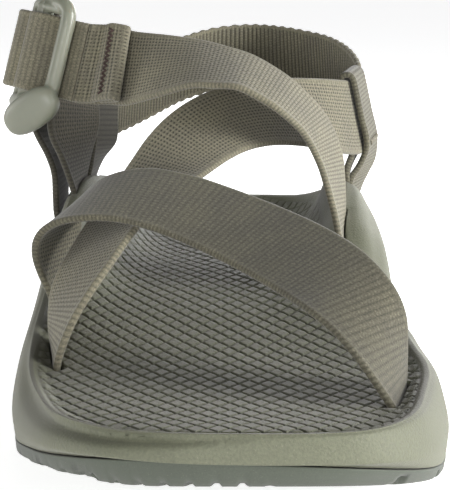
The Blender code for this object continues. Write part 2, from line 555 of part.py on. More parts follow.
leg = WEB_T / 2 + GAP
wrap_out = MID_T / 2 + leg
under = FRONT_R + leg
TURN = bar_rows([
    at(FRONT_BAR, 6.6, -under - WEB_T - GAP - 1.3), at(FRONT_BAR, 2.4, -under - WEB_T - GAP - 0.8),
    at(FRONT_BAR, -1.6, -under - WEB_T - GAP - 0.5), at(MID_BAR, 3.4, -wrap_out - 1.2),
    at(MID_BAR, -0.6, -wrap_out), at(MID_BAR, -3.0, -wrap_out + 0.7),
    at(MID_BAR, -MID_LEN / 2 - leg, 0.0), at(MID_BAR, -3.0, wrap_out - 0.7),
    at(MID_BAR, -0.6, wrap_out), at(MID_BAR, 2.6, wrap_out - 0.5),
    at(FRONT_BAR, -4.4, -under + 2.4), at(FRONT_BAR, -1.6, -under + 0.1), at(FRONT_BAR, 2.4, -under - 0.1),
    at(FRONT_BAR, 5.6, -under - 0.2),
])
turn = webbing("buckle_strap_turn", TURN, 2)
ANCHOR = bar_rows([
    at(REAR_BAR, -2.0, -8.8), at(REAR_BAR, -2.9, -4.8), at(REAR_BAR, -3.2, -1.0),
    at(REAR_BAR, -2.5, 1.9), at(REAR_BAR, 0.0, 3.2), at(REAR_BAR, 2.5, 1.9), at(REAR_BAR, 3.2, -1.0),
    at(REAR_BAR, 3.0, -4.6), at(REAR_BAR, 1.6, -8.8),
])
anchor = webbing("buckle_anchor_loop", ANCHOR, 2, trim=(HALF, 0.0))

# ---------------------------------------------------------------- free tail with its folded hem
LIE = WEB_T + 3 * GAP                                       # tail centre to strap centre
TAIL = [(*at(FRONT_BAR, 5.75 + GAP, -under - 0.25), *BAR_DIR)]
for station in (3, 5, 7, 9, 11):
    c, tan, across, normal, _ = frames(UPPER_STRAP, 6)[station]
    TAIL.append((*(c + normal * LIE), *across))
HEM_FROM = 3
tail = webbing("strap_tail", TAIL, 2)
hem = webbing("hem", [(*row, WEB_W - 0.8) for row in TAIL], 2, lift=1.6, trim=(0.4, 0.4), cutter=True,
              span=(HEM_FROM, 5))
boolean(tail, hem, "UNION")


# ---------------------------------------------------------------- stitching
def stitches(name, centre, row, swing, normal, length, width, count, radius=0.3):
    """Zigzag thread lying on a face: centre on the face, row and swing directions along it."""
    curve = bpy.data.curves.new(name, "CURVE")
    curve.dimensions = "3D"
    curve.bevel_depth = radius * MM
    curve.bevel_resolution = 0
    curve.use_fill_caps = True
    line = curve.splines.new("POLY")
    line.points.add(count - 1)
    base = centre + normal * (GAP + radius)
    for k, point in enumerate(line.points):
        p = base + row * (length * (k / (count - 1) - 0.5)) + swing * (width / 2 * (1 if k % 2 else -1))
        point.co = (*(p * MM), 1.0)
    helper = bpy.data.objects.new(name + "_curve", curve)
    sandal.objects.link(helper)
    mesh = bpy.data.meshes.new_from_object(helper.evaluated_get(bpy.context.evaluated_depsgraph_get()))
    bpy.data.objects.remove(helper, do_unlink=True)
    mesh.materials.clear()
    mesh.materials.append(material(name, "thread"))
    bm = bmesh.new()
    bm.from_mesh(mesh)
    bmesh.ops.remove_doubles(bm, verts=bm.verts, dist=1e-7)
    bmesh.ops.recalc_face_normals(bm, faces=bm.faces)
    bm.to_mesh(mesh)
    bm.free()
    ob = bpy.data.objects.new(name, mesh)
    sandal.objects.link(ob)
    return ob


def face_point(rows, steps, index, shift, side, lift):
    """Point on a webbing face: index along the frames, shift across, side +1 or -1 of the strip."""
    c, tan, across, normal, _ = frames(rows, steps)[index]
    return c + across * shift + normal * side * (WEB_T / 2 + lift), tan, across, normal * side


p, tan, across, normal = face_point(TAIL, 2, 8, 0.0, 1, 1.9)
tail_stitching = stitches("tail_stitching", p, across, tan, normal, 20.0, 1.6, 15)
p, tan, across, normal = face_point(ANCHOR, 2, 2, 0.0, 1, 0.0)
anchor_stitching = stitches("anchor_stitching", p, across, tan, normal, 19.0, 1.6, 13)
p, tan, across, normal = face_point(MEDIAL_RISER, 2, 28, 0.0, 1, 0.0)
medial_stitching = stitches("medial_riser_stitching", p, across, tan, normal, 15.0, 1.8, 11)
p, tan, across, normal = face_point(LATERAL_RISER, 2, 34, 0.0, -1, 0.0)
lateral_stitching = stitches("lateral_riser_stitching", p, across, tan, normal, 18.0, 1.8, 13)


# ---------------------------------------------------------------- pivots
def set_pivot(ob, point):
    """Move an object's origin onto its joint's axis without moving its mesh."""
    ob.data.transform(Matrix.Translation(-point * MM))
    ob.location = point * MM


TAIL_HINGE = at(FRONT_BAR, 5.75 + GAP, -under - 0.25 + WEB_T / 2)
for ob in (buckle, turn):
    set_pivot(ob, REAR_BAR)
for ob in (tail, tail_stitching):
    set_pivot(ob, TAIL_HINGE)
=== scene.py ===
"""Strappy sport sandal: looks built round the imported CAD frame. Lengths in the tables are millimetres."""

import math

import bmesh
import bpy
import numpy as np
from mathutils import Matrix, Vector


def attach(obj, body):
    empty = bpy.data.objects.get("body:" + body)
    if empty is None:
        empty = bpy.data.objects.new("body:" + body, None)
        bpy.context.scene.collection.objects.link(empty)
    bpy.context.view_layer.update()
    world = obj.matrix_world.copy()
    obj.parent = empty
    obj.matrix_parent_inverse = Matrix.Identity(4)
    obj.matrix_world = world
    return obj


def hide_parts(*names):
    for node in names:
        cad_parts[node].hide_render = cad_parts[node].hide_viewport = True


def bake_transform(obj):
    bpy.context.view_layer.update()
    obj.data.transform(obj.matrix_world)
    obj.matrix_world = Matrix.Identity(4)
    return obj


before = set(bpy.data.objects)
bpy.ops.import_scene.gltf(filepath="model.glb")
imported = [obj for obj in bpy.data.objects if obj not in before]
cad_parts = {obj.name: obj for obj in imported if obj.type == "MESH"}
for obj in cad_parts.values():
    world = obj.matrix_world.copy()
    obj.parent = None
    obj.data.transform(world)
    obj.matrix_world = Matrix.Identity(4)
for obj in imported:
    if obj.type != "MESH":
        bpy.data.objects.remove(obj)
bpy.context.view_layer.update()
MM = 0.001

# ---------------------------------------------------------------- camera, floor, lights
CAMERA_AT = (-0.001, -0.468, 0.127)
LOOK_DOWN_DEG = 10.2
SENSOR_MM, LENS_MM = 36, 114.245
FLOOR_SIZE, FLOOR_DROP, FLOOR_GLOW = 60, 0.0004, 0.72      # the drop keeps the floor just clear of the sole

scene = bpy.context.scene
cam_data = bpy.data.cameras.new("camera")
cam = bpy.data.objects.new("camera", cam_data)
scene.collection.objects.link(cam)
cam.location = CAMERA_AT
cam.rotation_euler = (math.radians(90 - LOOK_DOWN_DEG), 0, 0)
cam_data.sensor_width = SENSOR_MM
cam_data.lens = LENS_MM
cam_data.clip_start = 0.01
scene.camera = cam


def principled(name, base, rough):
    mat = bpy.data.materials.new(name)
    mat.use_nodes = True
    b = mat.node_tree.nodes["Principled BSDF"]
    b.inputs["Base Color"].default_value = (*base, 1)
    b.inputs["Roughness"].default_value = rough
    return mat, mat.node_tree, b


def srgb(r, g, b):
    return tuple(((c / 255 + 0.055) / 1.055) ** 2.4 if c > 10.3 else c / 255 / 12.92 for c in (r, g, b))


floor_mat, tree, bsdf = principled("floor_paint", (0.97, 0.97, 0.965), 0.9)
noise = tree.nodes.new("ShaderNodeTexNoise")
noise.inputs["Scale"].default_value = 60
bump = tree.nodes.new("ShaderNodeBump")
bump.inputs["Strength"].default_value = 0.02
tree.links.new(noise.outputs["Fac"], bump.inputs["Height"])
tree.links.new(bump.outputs["Normal"], bsdf.inputs["Normal"])
bsdf.inputs["Emission Color"].default_value = (1, 1, 1, 1)
bsdf.inputs["Emission Strength"].default_value = FLOOR_GLOW
bpy.ops.mesh.primitive_grid_add(x_subdivisions=2, y_subdivisions=2, size=FLOOR_SIZE,
                                location=(0, 0, -FLOOR_DROP))
floor = bpy.context.object
floor.name = "floor"
floor.data.materials.append(floor_mat)

world = bpy.data.worlds.new("studio")
scene.world = world
world.use_nodes = True
sky = world.node_tree
coord = sky.nodes.new("ShaderNodeTexCoord")
axes = sky.nodes.new("ShaderNodeSeparateXYZ")
fade = sky.nodes.new("ShaderNodeValToRGB")
fade.color_ramp.elements[0].position, fade.color_ramp.elements[0].color = 0.10, (1.0, 1.0, 1.0, 1)
fade.color_ramp.elements[1].position, fade.color_ramp.elements[1].color = 0.55, (0.08, 0.08, 0.085, 1)
sky.links.new(coord.outputs["Generated"], axes.inputs[0])
sky.links.new(axes.outputs["Z"], fade.inputs["Fac"])
sky.links.new(fade.outputs["Color"], sky.nodes["Background"].inputs["Color"])
sky.nodes["Background"].inputs["Strength"].default_value = 1.04


def area(name, place, target, size, power):
    """Rectangular softbox at a place, aimed at a target."""
    data = bpy.data.lights.new(name, "AREA")
    data.shape = "RECTANGLE"
    data.size, data.size_y = size
    data.energy = power
    ob = bpy.data.objects.new(name, data)
    ob.location = place
    ob.rotation_euler = (Vector(target) - Vector(place)).to_track_quat("-Z", "Y").to_euler()
    scene.collection.objects.link(ob)


area("key_right", (1.35, -0.50, 0.40), (0, -0.02, 0.05), (0.6, 0.7), 36.0)
area("top_soft", (0.1, 0.1, 1.2), (0, 0, 0.05), (0.8, 0.8), 0.2)
area("back_rim", (0.45, 1.2, 0.40), (0, 0, 0.04), (1.2, 0.6), 11.0)
area("left_fill", (-1.30, 0.05, 0.22), (0, 0, 0.05), (0.5, 0.4), 4.5)
area("front_low", (-0.35, -1.3, 0.16), (0, 0, 0.07), (0.7, 0.3), 6.5)
scene.view_settings.view_transform = "Standard"
scene.view_settings.look = "None"

# ---------------------------------------------------------------- curves and strips
WEB_W, WEB_T = 25.0, 2.0


def catmull_dense(rows, per, closed=False):
    """Catmull-Rom through the rows, per samples a span."""
    r = np.array(rows, float)
    n = len(r)
    if closed:
        idx = np.arange(n)
        p0, p1, p2, p3 = r[(idx - 1) % n], r[idx], r[(idx + 1) % n], r[(idx + 2) % n]
    else:
        ext = np.vstack([2 * r[0] - r[1], r, 2 * r[-1] - r[-2]])
        p0, p1, p2, p3 = ext[:-3], ext[1:-2], ext[2:-1], ext[3:]
    t = (np.arange(per) / per)[None, :, None]
    p0, p1, p2, p3 = (p[:, None, :] for p in (p0, p1, p2, p3))
    out = 0.5 * (2 * p1 + (p2 - p0) * t + (2 * p0 - 5 * p1 + 4 * p2 - p3) * t ** 2
                 + (3 * p1 - p0 - 3 * p2 + p3) * t ** 3)
    out = out.reshape(-1, r.shape[1])
    return out if closed else np.vstack([out, r[-1:]])


def unit(v):
    return v / np.maximum(np.linalg.norm(v, axis=-1, keepdims=True), 1e-12)


def smooth_along(a, sigma_steps):
    """Gaussian smoothing of rows, ends kept."""
    if sigma_steps < 0.3:
        return a
    k = int(3 * sigma_steps) + 1
    w = np.exp(-0.5 * (np.arange(-k, k + 1) / sigma_steps) ** 2)
    w /= w.sum()
    head = 2 * a[0] - a[1:k + 1][::-1]
    tail = 2 * a[-1] - a[-k - 1:-1][::-1]
    padded = np.vstack([head, a, tail])
    return np.stack([np.convolve(padded[:, c], w, "valid") for c in range(a.shape[1])], 1)


def strip_frames(rows, ds, sigma):
    """Evenly spaced centre, across, normal, width and running length along a strip."""
    rows = [list(r) + ([WEB_W] if len(r) == 6 else []) for r in rows]
    p = catmull_dense(rows, 24)
    p[:, 3:6] = unit(p[:, 3:6])
    s = np.concatenate([[0], np.cumsum(np.linalg.norm(np.diff(p[:, :3], axis=0), axis=1))])
    n = max(4, int(round(s[-1] / ds)))
    at = np.linspace(0, s[-1], n + 1)
    q = np.stack([np.interp(at, s, p[:, c]) for c in range(p.shape[1])], 1)
    q = smooth_along(q, sigma / (s[-1] / n))
    across = unit(q[:, 3:6])
    tan = unit(np.gradient(q[:, :3], axis=0))
    normal = unit(np.cross(tan, across))
    return q[:, :3], across, normal, q[:, 6], at, tan


def new_mesh(name, verts, faces, mat, attr, uvs=None):
    """Object from millimetre vertices; uvs and attr are per vertex."""
    me = bpy.data.meshes.new(name)
    me.from_pydata((np.asarray(verts) * MM).tolist(), [], faces)
    me.materials.append(mat)
    me.polygons.foreach_set("use_smooth", np.ones(len(me.polygons), bool))
    if uvs is not None:
        layer = me.uv_layers.new(name="along")
        loops = np.empty(len(me.loops), np.int32)
        me.loops.foreach_get("vertex_index", loops)
        layer.data.foreach_set("uv", np.asarray(uvs, np.float32)[loops].ravel())
    for key, values in attr.items():
        a = me.attributes.new(key, "FLOAT", "POINT")
        a.data.foreach_set("value", np.asarray(values, np.float32))
    me.update()
    ob = bpy.data.objects.new(name, me)
    scene.collection.objects.link(ob)
    return ob


PITCH_S, PITCH_W = 1.28, 1.25                            # weave pitch along and across the webbing
RIB_PITCH, BEAD_PITCH = 1.8, 1.28                        # crosswise ribs, and the stitches of the selvedge
RUFFLE, RUFFLE_PITCH = 0.24, 4.4                         # slow wave of a strongly ribbed strap's edge
HALF_WEB = 12.5


def ribbon(name, rows, mat, ds, sigma, side=1, out_ribs=0.0, in_ribs=0.0, weave=0.16):
    """Woven strip; with side +1 the worn face is along +normal.

    Ribs are crosswise cords on the worn face (out_ribs) or the other one (in_ribs); weave is the depth of
    the pits in the worn face. The mesh carries painted shade in the hollows between yarns, ribs and
    stitches, and where it is pale: along the woven border, plus a painted highlight on the yarn crowns.
    """
    c, across, normal, width, s, _ = strip_frames(rows, ds, sigma)
    n = len(c)
    flat = 84
    arc = 7
    u = np.linspace(-1, 1, flat)
    ang = np.linspace(math.pi / 2, -math.pi / 2, arc + 2)[1:-1]
    half_t = WEB_T / 2
    profile = []                # width fraction, width offset, normal offset, face, width in mm
    for x in u:
        profile.append((x, 0.0, half_t, 1.0, x * HALF_WEB))
    for a in ang:
        profile.append((1.0, half_t * 0.85 * math.cos(a), half_t * math.sin(a), 0.0, HALF_WEB))
    for x in u[::-1]:
        profile.append((x, 0.0, -half_t, -1.0, x * HALF_WEB))
    for a in ang[::-1]:
        profile.append((-1.0, -half_t * 0.85 * math.cos(a), half_t * math.sin(a), 0.0, -HALF_WEB))
    prof = np.array(profile)
    m = len(prof)
    S = s[:, None]
    W = prof[None, :, 4]
    face = prof[None, :, 3]
    woven = np.cos(2 * math.pi * S / PITCH_S) * 0.5 + np.cos(2 * math.pi * W / PITCH_W) * 0.5
    pits = np.clip((-woven - 0.12) / 0.88, 0, 1) ** 1.1
    stagger = np.cos(2 * math.pi * (S / (2 * PITCH_S) + np.round(W / PITCH_W) * 0.5))
    ribs = np.abs(np.cos(math.pi * S / RIB_PITCH)) ** 0.8
    edge_bead = 0.5 + 0.5 * np.cos(2 * math.pi * S / BEAD_PITCH + face * 0.6)
    outer = (face == side) * 1.0
    inner = (face == -side) * 1.0
    rim = np.clip((np.abs(W) - 11.5) / 0.5, 0, 1)           # selvedge: a denser, raised border
    woven_height = -weave * pits + 0.03 * stagger + out_ribs * (ribs - 0.6)
    h = outer * ((1 - rim) * woven_height + rim * 0.06 * edge_bead)
    h += inner * ((1 - rim) * (in_ribs * (ribs - 0.6) - 0.4 * weave * pits) + rim * 0.06 * edge_bead)
    side_push = (face == 0) * 0.07 * (edge_bead - 0.5)
    w_half = (width / 2 - half_t * 0.85)[:, None]
    ruffled = (in_ribs > 0.3) * (face == 0)
    side_push = side_push + RUFFLE * ruffled * np.sin(2 * math.pi * S / RUFFLE_PITCH + 0.9 * np.sin(S / 7.0))
    woff = W * 0 + prof[None, :, 0] * w_half + prof[None, :, 1] + np.sign(prof[None, :, 1]) * side_push
    noff = prof[None, :, 2] + np.sign(prof[None, :, 2]) * h
    fade = np.clip(np.minimum(s, s[-1] - s) / 0.8, 0, 1)[:, None]
    noff = noff * (0.55 + 0.45 * fade)
    v = c[:, None, :] + across[:, None, :] * woff[..., None] + normal[:, None, :] * noff[..., None]
    i = np.arange(n - 1)[:, None]
    j = np.arange(m)[None, :]
    a = i * m + j
    b = i * m + (j + 1) % m
    quads = np.stack([a, b, b + m, a + m], -1).reshape(-1, 4)
    faces = quads.tolist() + [list(range(m))[::-1], [(n - 1) * m + k for k in range(m)]]
    twill = 0.5 - 0.5 * np.cos(2 * math.pi * (W / 1.1 + np.round(S / RIB_PITCH) * 0.5))
    # painted shade: darker in the weave's pits, between the ribs, along the twill lines and between the
    # border stitches
    hollow_shade = outer * pits * (1 - rim) * min(1.0, 0.25 + weave / 0.17)
    hollow_shade = hollow_shade + inner * (1 - rim) * (np.clip(1 - ribs, 0, 1) * (0.5 if in_ribs else 0.3) + 0.16 * twill)
    hollow_shade = hollow_shade + (rim + (face == 0)) * 0.17 * (1 - edge_bead) ** 2
    hollow_shade = hollow_shade + outer * out_ribs * 3.0 * np.clip(1 - ribs, 0, 1)
    # paler along the woven border and its edge beads, plus a painted highlight on the yarn crowns of the
    # worn face
    light = 0.10 * rim * edge_bead + 0.20 * (face == 0) * edge_bead
    light = light + outer * (1 - rim) * 0.6 * np.clip(woven, 0, 1) ** 2
    uv = np.stack([np.broadcast_to(S, (n, m)) * 0.01,
                   np.broadcast_to(W, (n, m)) * 0.01 + (face == -side) * 0.3], -1)
    attr = {"hollow_shade": np.clip(hollow_shade, 0, 1).ravel(), "selvedge_and_crown_highlight": np.clip(light, 0, 1).ravel()}
    return new_mesh(name, v.reshape(-1, 3), faces, mat, attr, uv.reshape(-1, 2))


# ---------------------------------------------------------------- stations of the sole and straps (mm)
# sole loop, from the toe round the inner side: ground x and y, widest x, y and z, rim x, y and z
LOOP = [
    (0, -141.6, 0, -144.8, 20.6, 0, -143.6, 27.0),
    (20, -140.4, 21, -143.8, 20.4, 20, -142.6, 26.8),
    (33, -133.5, 35, -138.4, 19.4, 33.5, -137.2, 26.5),
    (45, -121.0, 46.0, -124.6, 17.2, 42.6, -123.6, 25.9),
    (52.3, -101.5, 53.0, -103.0, 14.8, 47.7, -102.5, 25.2),
    (55.2, -77.5, 56.4, -78.0, 13.5, 51.4, -77.5, 25.2),
    (50.5, -48.0, 54.3, -48.0, 17.0, 49.2, -48.0, 27.0),
    (43.5, -18.0, 50.0, -18.0, 27.0, 46.4, -18.0, 35.5),
    (38.5, 12.0, 49.4, 12.0, 38.5, 46.4, 12.0, 50.0),
    (38.0, 42.0, 47.8, 42.0, 42.0, 44.0, 42.0, 57.5),
    (38.0, 72.0, 44.4, 72.0, 36.0, 40.0, 72.0, 54.0),
    (36.0, 100.0, 40.5, 100.0, 29.0, 35.5, 100.0, 46.0),
    (28.0, 123.0, 32.0, 124.5, 24.5, 27.5, 122.5, 40.5),
    (15.0, 136.5, 17.5, 139.5, 22.5, 15.0, 136.0, 38.5),
    (0, 140.8, 0, 144.6, 22.0, 0, 140.4, 38.0),
    (-16.0, 137.5, -18.0, 140.0, 22.5, -15.5, 136.5, 38.5),
    (-30.0, 124.5, -33.0, 126.0, 24.5, -28.5, 123.5, 40.5),
    (-38.5, 102.0, -42.0, 102.0, 29.0, -37.5, 101.0, 46.0),
    (-42.0, 73.0, -47.5, 73.0, 36.0, -42.8, 73.0, 54.5),
    (-45.5, 42.0, -54.0, 42.0, 41.0, -49.0, 42.0, 57.0),
    (-49.0, 12.0, -56.2, 12.0, 35.0, -52.3, 12.0, 47.0),
    (-53.5, -18.0, -58.2, -18.0, 23.5, -53.8, -18.0, 33.0),
    (-56.0, -48.0, -58.8, -48.0, 16.0, -54.0, -48.0, 27.0),
    (-55.4, -77.0, -56.4, -77.0, 13.5, -51.8, -77.0, 25.2),
    (-48.8, -101.0, -50.6, -103.0, 15.4, -47.0, -102.2, 25.3),
    (-40.0, -118.6, -42.6, -124.2, 18.6, -39.8, -124.0, 26.0),
    (-27.5, -132.6, -29.8, -138.4, 20.6, -27.5, -137.6, 26.6),
    (-13.0, -139.6, -15.0, -143.9, 20.8, -13.8, -142.7, 27.0),
]
BED = [(-150, 26.4), (-136, 25.8), (-120, 24.0), (-105, 23.0), (-85, 22.6), (-62, 23.2), (-40, 25.2),
       (-20, 27.3), (0, 28.9), (25, 30.0), (70, 30.4), (100, 31.4), (118, 33.6), (132, 37.0), (150, 38.0)]
# strap rows: centre x, y, z, then the direction across the webbing, then its width where that is not WEB_W
FRONT_STRAP = [
    (35.0, -97.0, 14.6, 0.30, 0.95, 0.00), (38.6, -98.0, 14.9, 0.26, 0.97, 0.00),
    (41.2, -98.8, 17.0, 0.20, 0.98, 0.00), (42.1, -98.7, 20.5, 0.16, 0.99, 0.00),
    (38.7, -97.5, 31.5, 0.47, 0.88, 0.01), (35.2, -95.2, 39.9, 0.72, 0.69, 0.09),
    (30.3, -90.0, 45.8, 0.82, 0.52, 0.23), (24.0, -81.5, 50.1, 0.81, 0.45, 0.38),
    (16.0, -70.8, 53.4, 0.75, 0.49, 0.44), (6.3, -60.5, 56.6, 0.67, 0.59, 0.45),
    (-4.6, -52.3, 60.0, 0.56, 0.69, 0.45), (-15.8, -46.7, 63.1, 0.44, 0.77, 0.47),
    (-26.3, -42.7, 64.6, 0.33, 0.83, 0.45), (-35.2, -39.4, 63.6, 0.27, 0.89, 0.37),
    (-42.1, -36.4, 61.0, 0.29, 0.92, 0.26), (-46.5, -34.1, 57.2, 0.35, 0.93, 0.15),
    (-48.5, -32.7, 52.6, 0.42, 0.91, 0.06), (-48.9, -32.4, 47.4, 0.42, 0.91, 0.01),
    (-48.4, -32.6, 42.0, 0.31, 0.95, 0.00), (-47.2, -32.9, 35.9, 0.17, 0.99, 0.01),
    (-45.8, -33.0, 28.5, 0.18, 0.98, 0.00), (-45.6, -33.4, 21.0, -0.02, 1.00, 0.00),
    (-44.4, -33.8, 16.8, -0.20, 0.98, 0.00), (-42.0, -33.0, 15.1, -0.36, 0.93, 0.00),
    (-38.0, -31.2, 15.0, -0.42, 0.90, 0.00),
]
LOWER_STRAP = [
    (-37.5, -66.0, 14.6, 0.32, 0.94, 0.00), (-42.0, -64.2, 14.8, 0.12, 0.99, 0.00),
    (-45.6, -62.6, 16.8, -0.06, 1.00, 0.00), (-46.6, -61.2, 21.5, -0.11, 0.99, 0.00),
    (-46.3, -62.1, 27.5, -0.21, 0.98, -0.04), (-44.7, -60.6, 34.0, -0.36, 0.92, -0.16),
    (-42.2, -58.0, 40.2, -0.54, 0.81, -0.25), (-39.1, -53.3, 45.8, -0.67, 0.68, -0.29),
    (-35.6, -46.7, 51.0, -0.73, 0.60, -0.31), (-31.7, -39.0, 55.9, -0.78, 0.57, -0.27),
    (-27.4, -31.1, 60.1, -0.81, 0.56, -0.18), (-22.9, -23.8, 64.1, -0.82, 0.57, -0.05),
    (-18.5, -17.8, 68.2, -0.82, 0.56, 0.12), (-14.1, -12.8, 72.6, -0.79, 0.53, 0.31),
    (-8.7, -8.2, 76.9, -0.72, 0.51, 0.46), (-2.0, -2.8, 80.3, -0.63, 0.52, 0.57),
    (6.0, 4.0, 82.1, -0.54, 0.52, 0.66), (14.9, 12.3, 82.2, -0.45, 0.49, 0.75),
    (23.9, 22.1, 81.1, -0.36, 0.40, 0.84), (34.0, 35.2, 78.9, -0.20, 0.28, 0.94),
    (40.8, 46.6, 77.4, -0.19, 0.12, 0.97), (43.9, 57.6, 77.4, -0.20, 0.06, 0.98),
    (46.6, 70.0, 78.4, -0.17, 0.04, 0.99),
]
HEEL_STRAP = [
    (46.6, 70.0, 78.4, -0.17, 0.04, 0.99), (46.9, 82.0, 81.4, -0.10, 0.06, 0.99),
    (44.0, 95.0, 85.4, -0.05, 0.15, 0.98), (38.6, 108.0, 88.8, -0.05, 0.25, 0.96),
    (30.8, 120.0, 90.8, -0.05, 0.33, 0.94), (20.0, 130.0, 92.3, -0.03, 0.35, 0.93),
    (8.0, 135.6, 92.7, 0.0, 0.35, 0.93), (-5.0, 133.6, 91.4, 0.02, 0.30, 0.95),
    (-17.0, 124.0, 88.4, 0.05, 0.24, 0.97), (-28.4, 110.0, 83.6, 0.06, 0.18, 0.98),
    (-38.6, 93.0, 80.0, 0.06, 0.10, 0.99), (-45.6, 76.0, 79.6, 0.05, 0.05, 1.0),
    (-50.0, 65.2, 82.8, 0.10, 0.03, 1.0), (-55.4, 56.4, 89.9, 0.16, 0.06, 0.98),
    (-59.0, 50.5, 94.7, 0.21, 0.08, 0.975), (-61.6, 46.2, 98.2, 0.24, 0.10, 0.965),
]
UPPER_STRAP = [
    (-43.4, 24.3, 96.0, 0.24, 0.10, 0.965), (-36.2, 21.2, 96.0, 0.17, 0.26, 0.95),
    (-29.8, 16.2, 95.6, 0.12, 0.47, 0.87), (-20.4, 7.6, 96.8, 0.15, 0.69, 0.71),
    (-10.0, 0.2, 98.0, 0.12, 0.86, 0.50), (-2.0, -4.4, 97.2, 0.16, 0.90, 0.40),
    (5.0, -6.6, 95.9, 0.19, 0.93, 0.31), (12.0, -6.8, 92.2, 0.23, 0.94, 0.27),
    (17.6, -6.0, 88.2, 0.26, 0.94, 0.22), (25.2, -2.4, 80.5, 0.32, 0.94, 0.12),
    (30.2, 1.6, 71.0, 0.34, 0.94, 0.0), (32.4, 3.2, 62.0, 0.28, 0.96, -0.10),
    (34.2, 4.0, 50.0, 0.16, 0.97, -0.10), (35.0, 4.2, 38.0, 0.05, 0.99, 0.0),
    (35.0, 4.2, 24.0, 0.0, 1.0, 0.0), (33.6, 3.6, 18.0, -0.1, 0.99, 0.0),
    (29.6, 1.4, 15.2, -0.25, 0.97, 0.0), (24.0, -1.4, 15.0, -0.42, 0.90, 0.0),
]
MEDIAL_INNER = [
    (36.0, 49.5, 14.0, 0.0, 1.0, 0.0, 21), (38.2, 50.6, 24.0, 0.0, 1.0, 0.0, 21),
    (39.4, 51.0, 40.0, 0.0, 1.0, 0.0, 21),
    (39.8, 51.2, 54.0, 0.05, 1.0, 0.0, 21), (40.8, 53.4, 60.5, 0.14, 0.98, 0.0, 21),
]
MEDIAL_OUTER = [
    (48.9, 57.0, 62.0, 0.16, 0.99, 0.0, 21), (44.6, 52.2, 57.0, 0.08, 0.99, 0.0, 21),
    (43.2, 51.2, 51.0, 0.05, 1.0, 0.0, 21), (42.6, 51.0, 40.0, 0.0, 1.0, 0.0, 21),
    (41.8, 51.0, 22.0, 0.0, 1.0, 0.0, 21),
]
LATERAL_INNER = [
    (-43.0, 47.0, 14.0, 0.0, 1.0, 0.0), (-46.2, 45.0, 26.0, 0.0, 1.0, 0.0),
    (-48.8, 44.0, 40.0, 0.0, 1.0, 0.0),
    (-49.4, 44.0, 52.0, 0.02, 1.0, 0.0), (-49.8, 43.4, 59.0, 0.14, 0.99, 0.0),
    (-50.2, 43.0, 66.0, 0.32, 0.95, 0.0), (-50.8, 43.4, 74.0, 0.57, 0.82, 0.0),
    (-50.8, 46.4, 82.0, 0.56, 0.80, -0.20),
]
LATERAL_OUTER = [
    (-59.8, 56.4, 74.0, 0.36, 0.93, -0.10), (-56.8, 50.8, 66.0, 0.18, 0.98, 0.0),
    (-55.6, 47.4, 60.0, 0.08, 1.0, 0.0), (-55.8, 46.2, 52.0, 0.03, 1.0, 0.0),
    (-55.4, 45.6, 46.4, 0.03, 1.0, 0.0), (-53.6, 45.4, 42.0, 0.03, 1.0, 0.0),
    (-50.0, 45.2, 39.4, 0.0, 1.0, 0.0),
]
REAR_FOLD_LOW = [
    (-44.2, 69.6, 60.6, 0.10, 1.0, 0.0, 18.0), (-46.0, 66.6, 54.0, 0.02, 1.0, 0.0, 15.0),
    (-46.0, 66.0, 47.0, 0.0, 1.0, 0.0, 14.0), (-45.4, 66.0, 38.0, 0.0, 1.0, 0.0, 14.0),
]

BAR_DIR = Vector((0.24, 0.10, 0.965)).normalized()
FWD_DIR = Vector((0.824, -0.546, -0.149)).normalized()
OUT_DIR = FWD_DIR.cross(BAR_DIR).normalized()
FRONT_BAR = Vector((-52.9, 21.9, 98.6))
MID_BAR = FRONT_BAR - 10.8 * FWD_DIR - 1.4 * OUT_DIR
REAR_BAR = MID_BAR - 7.6 * FWD_DIR - 5.6 * OUT_DIR
FRONT_R, REAR_R, OPENING = 2.4, 1.8, 26.2
SPRING_Y, SPRING_H, SPRING_LEN, OUTSOLE_T = -72.0, 14.8, 71.0, 4.9
GROOVES = (-128.0, -110.0, -92.0, -72.0, -52.0, -32.0, -12.0, 8.0, 28.0, 48.0, 98.0, 116.0, 130.0)


def at(centre, fwd, out, up=0.0):
    return centre + FWD_DIR * fwd + OUT_DIR * out + BAR_DIR * up


# ---------------------------------------------------------------- materials
def node(tree, kind, **values):
    n = tree.nodes.new(kind)
    for key, value in values.items():
        if key in n.inputs:
            n.inputs[key].default_value = value
        else:
            setattr(n, key, value)
    return n


def shade(colour, factor):
    return tuple(c * factor for c in colour)


def grey(value):
    return (value,) * 3


def ramp(tree, source, stops):
    r = tree.nodes.new("ShaderNodeValToRGB")
    while len(r.color_ramp.elements) < len(stops):
        r.color_ramp.elements.new(0.5)
    for e, (p, c) in zip(r.color_ramp.elements, stops):
        e.position = p
        e.color = (*c, 1)
    tree.links.new(source, r.inputs["Fac"])
    return r


def mix_colour(tree, a, b, fac, blend="MIX"):
    m = tree.nodes.new("ShaderNodeMix")
    m.data_type = "RGBA"
    m.blend_type = blend
    for value, sock in ((a, m.inputs[6]), (b, m.inputs[7])):
        if isinstance(value, tuple):
            sock.default_value = (*value, 1)
        else:
            tree.links.new(value, sock)
    if isinstance(fac, float):
        m.inputs[0].default_value = fac
    else:
        tree.links.new(fac, m.inputs[0])
    return m.outputs[2]


def grain_bump(tree, shader, noise, strength, distance):
    bump = node(tree, "ShaderNodeBump", Strength=strength, Distance=distance)
    tree.links.new(noise.outputs["Fac"], bump.inputs["Height"])
    tree.links.new(bump.outputs["Normal"], shader.inputs["Normal"])


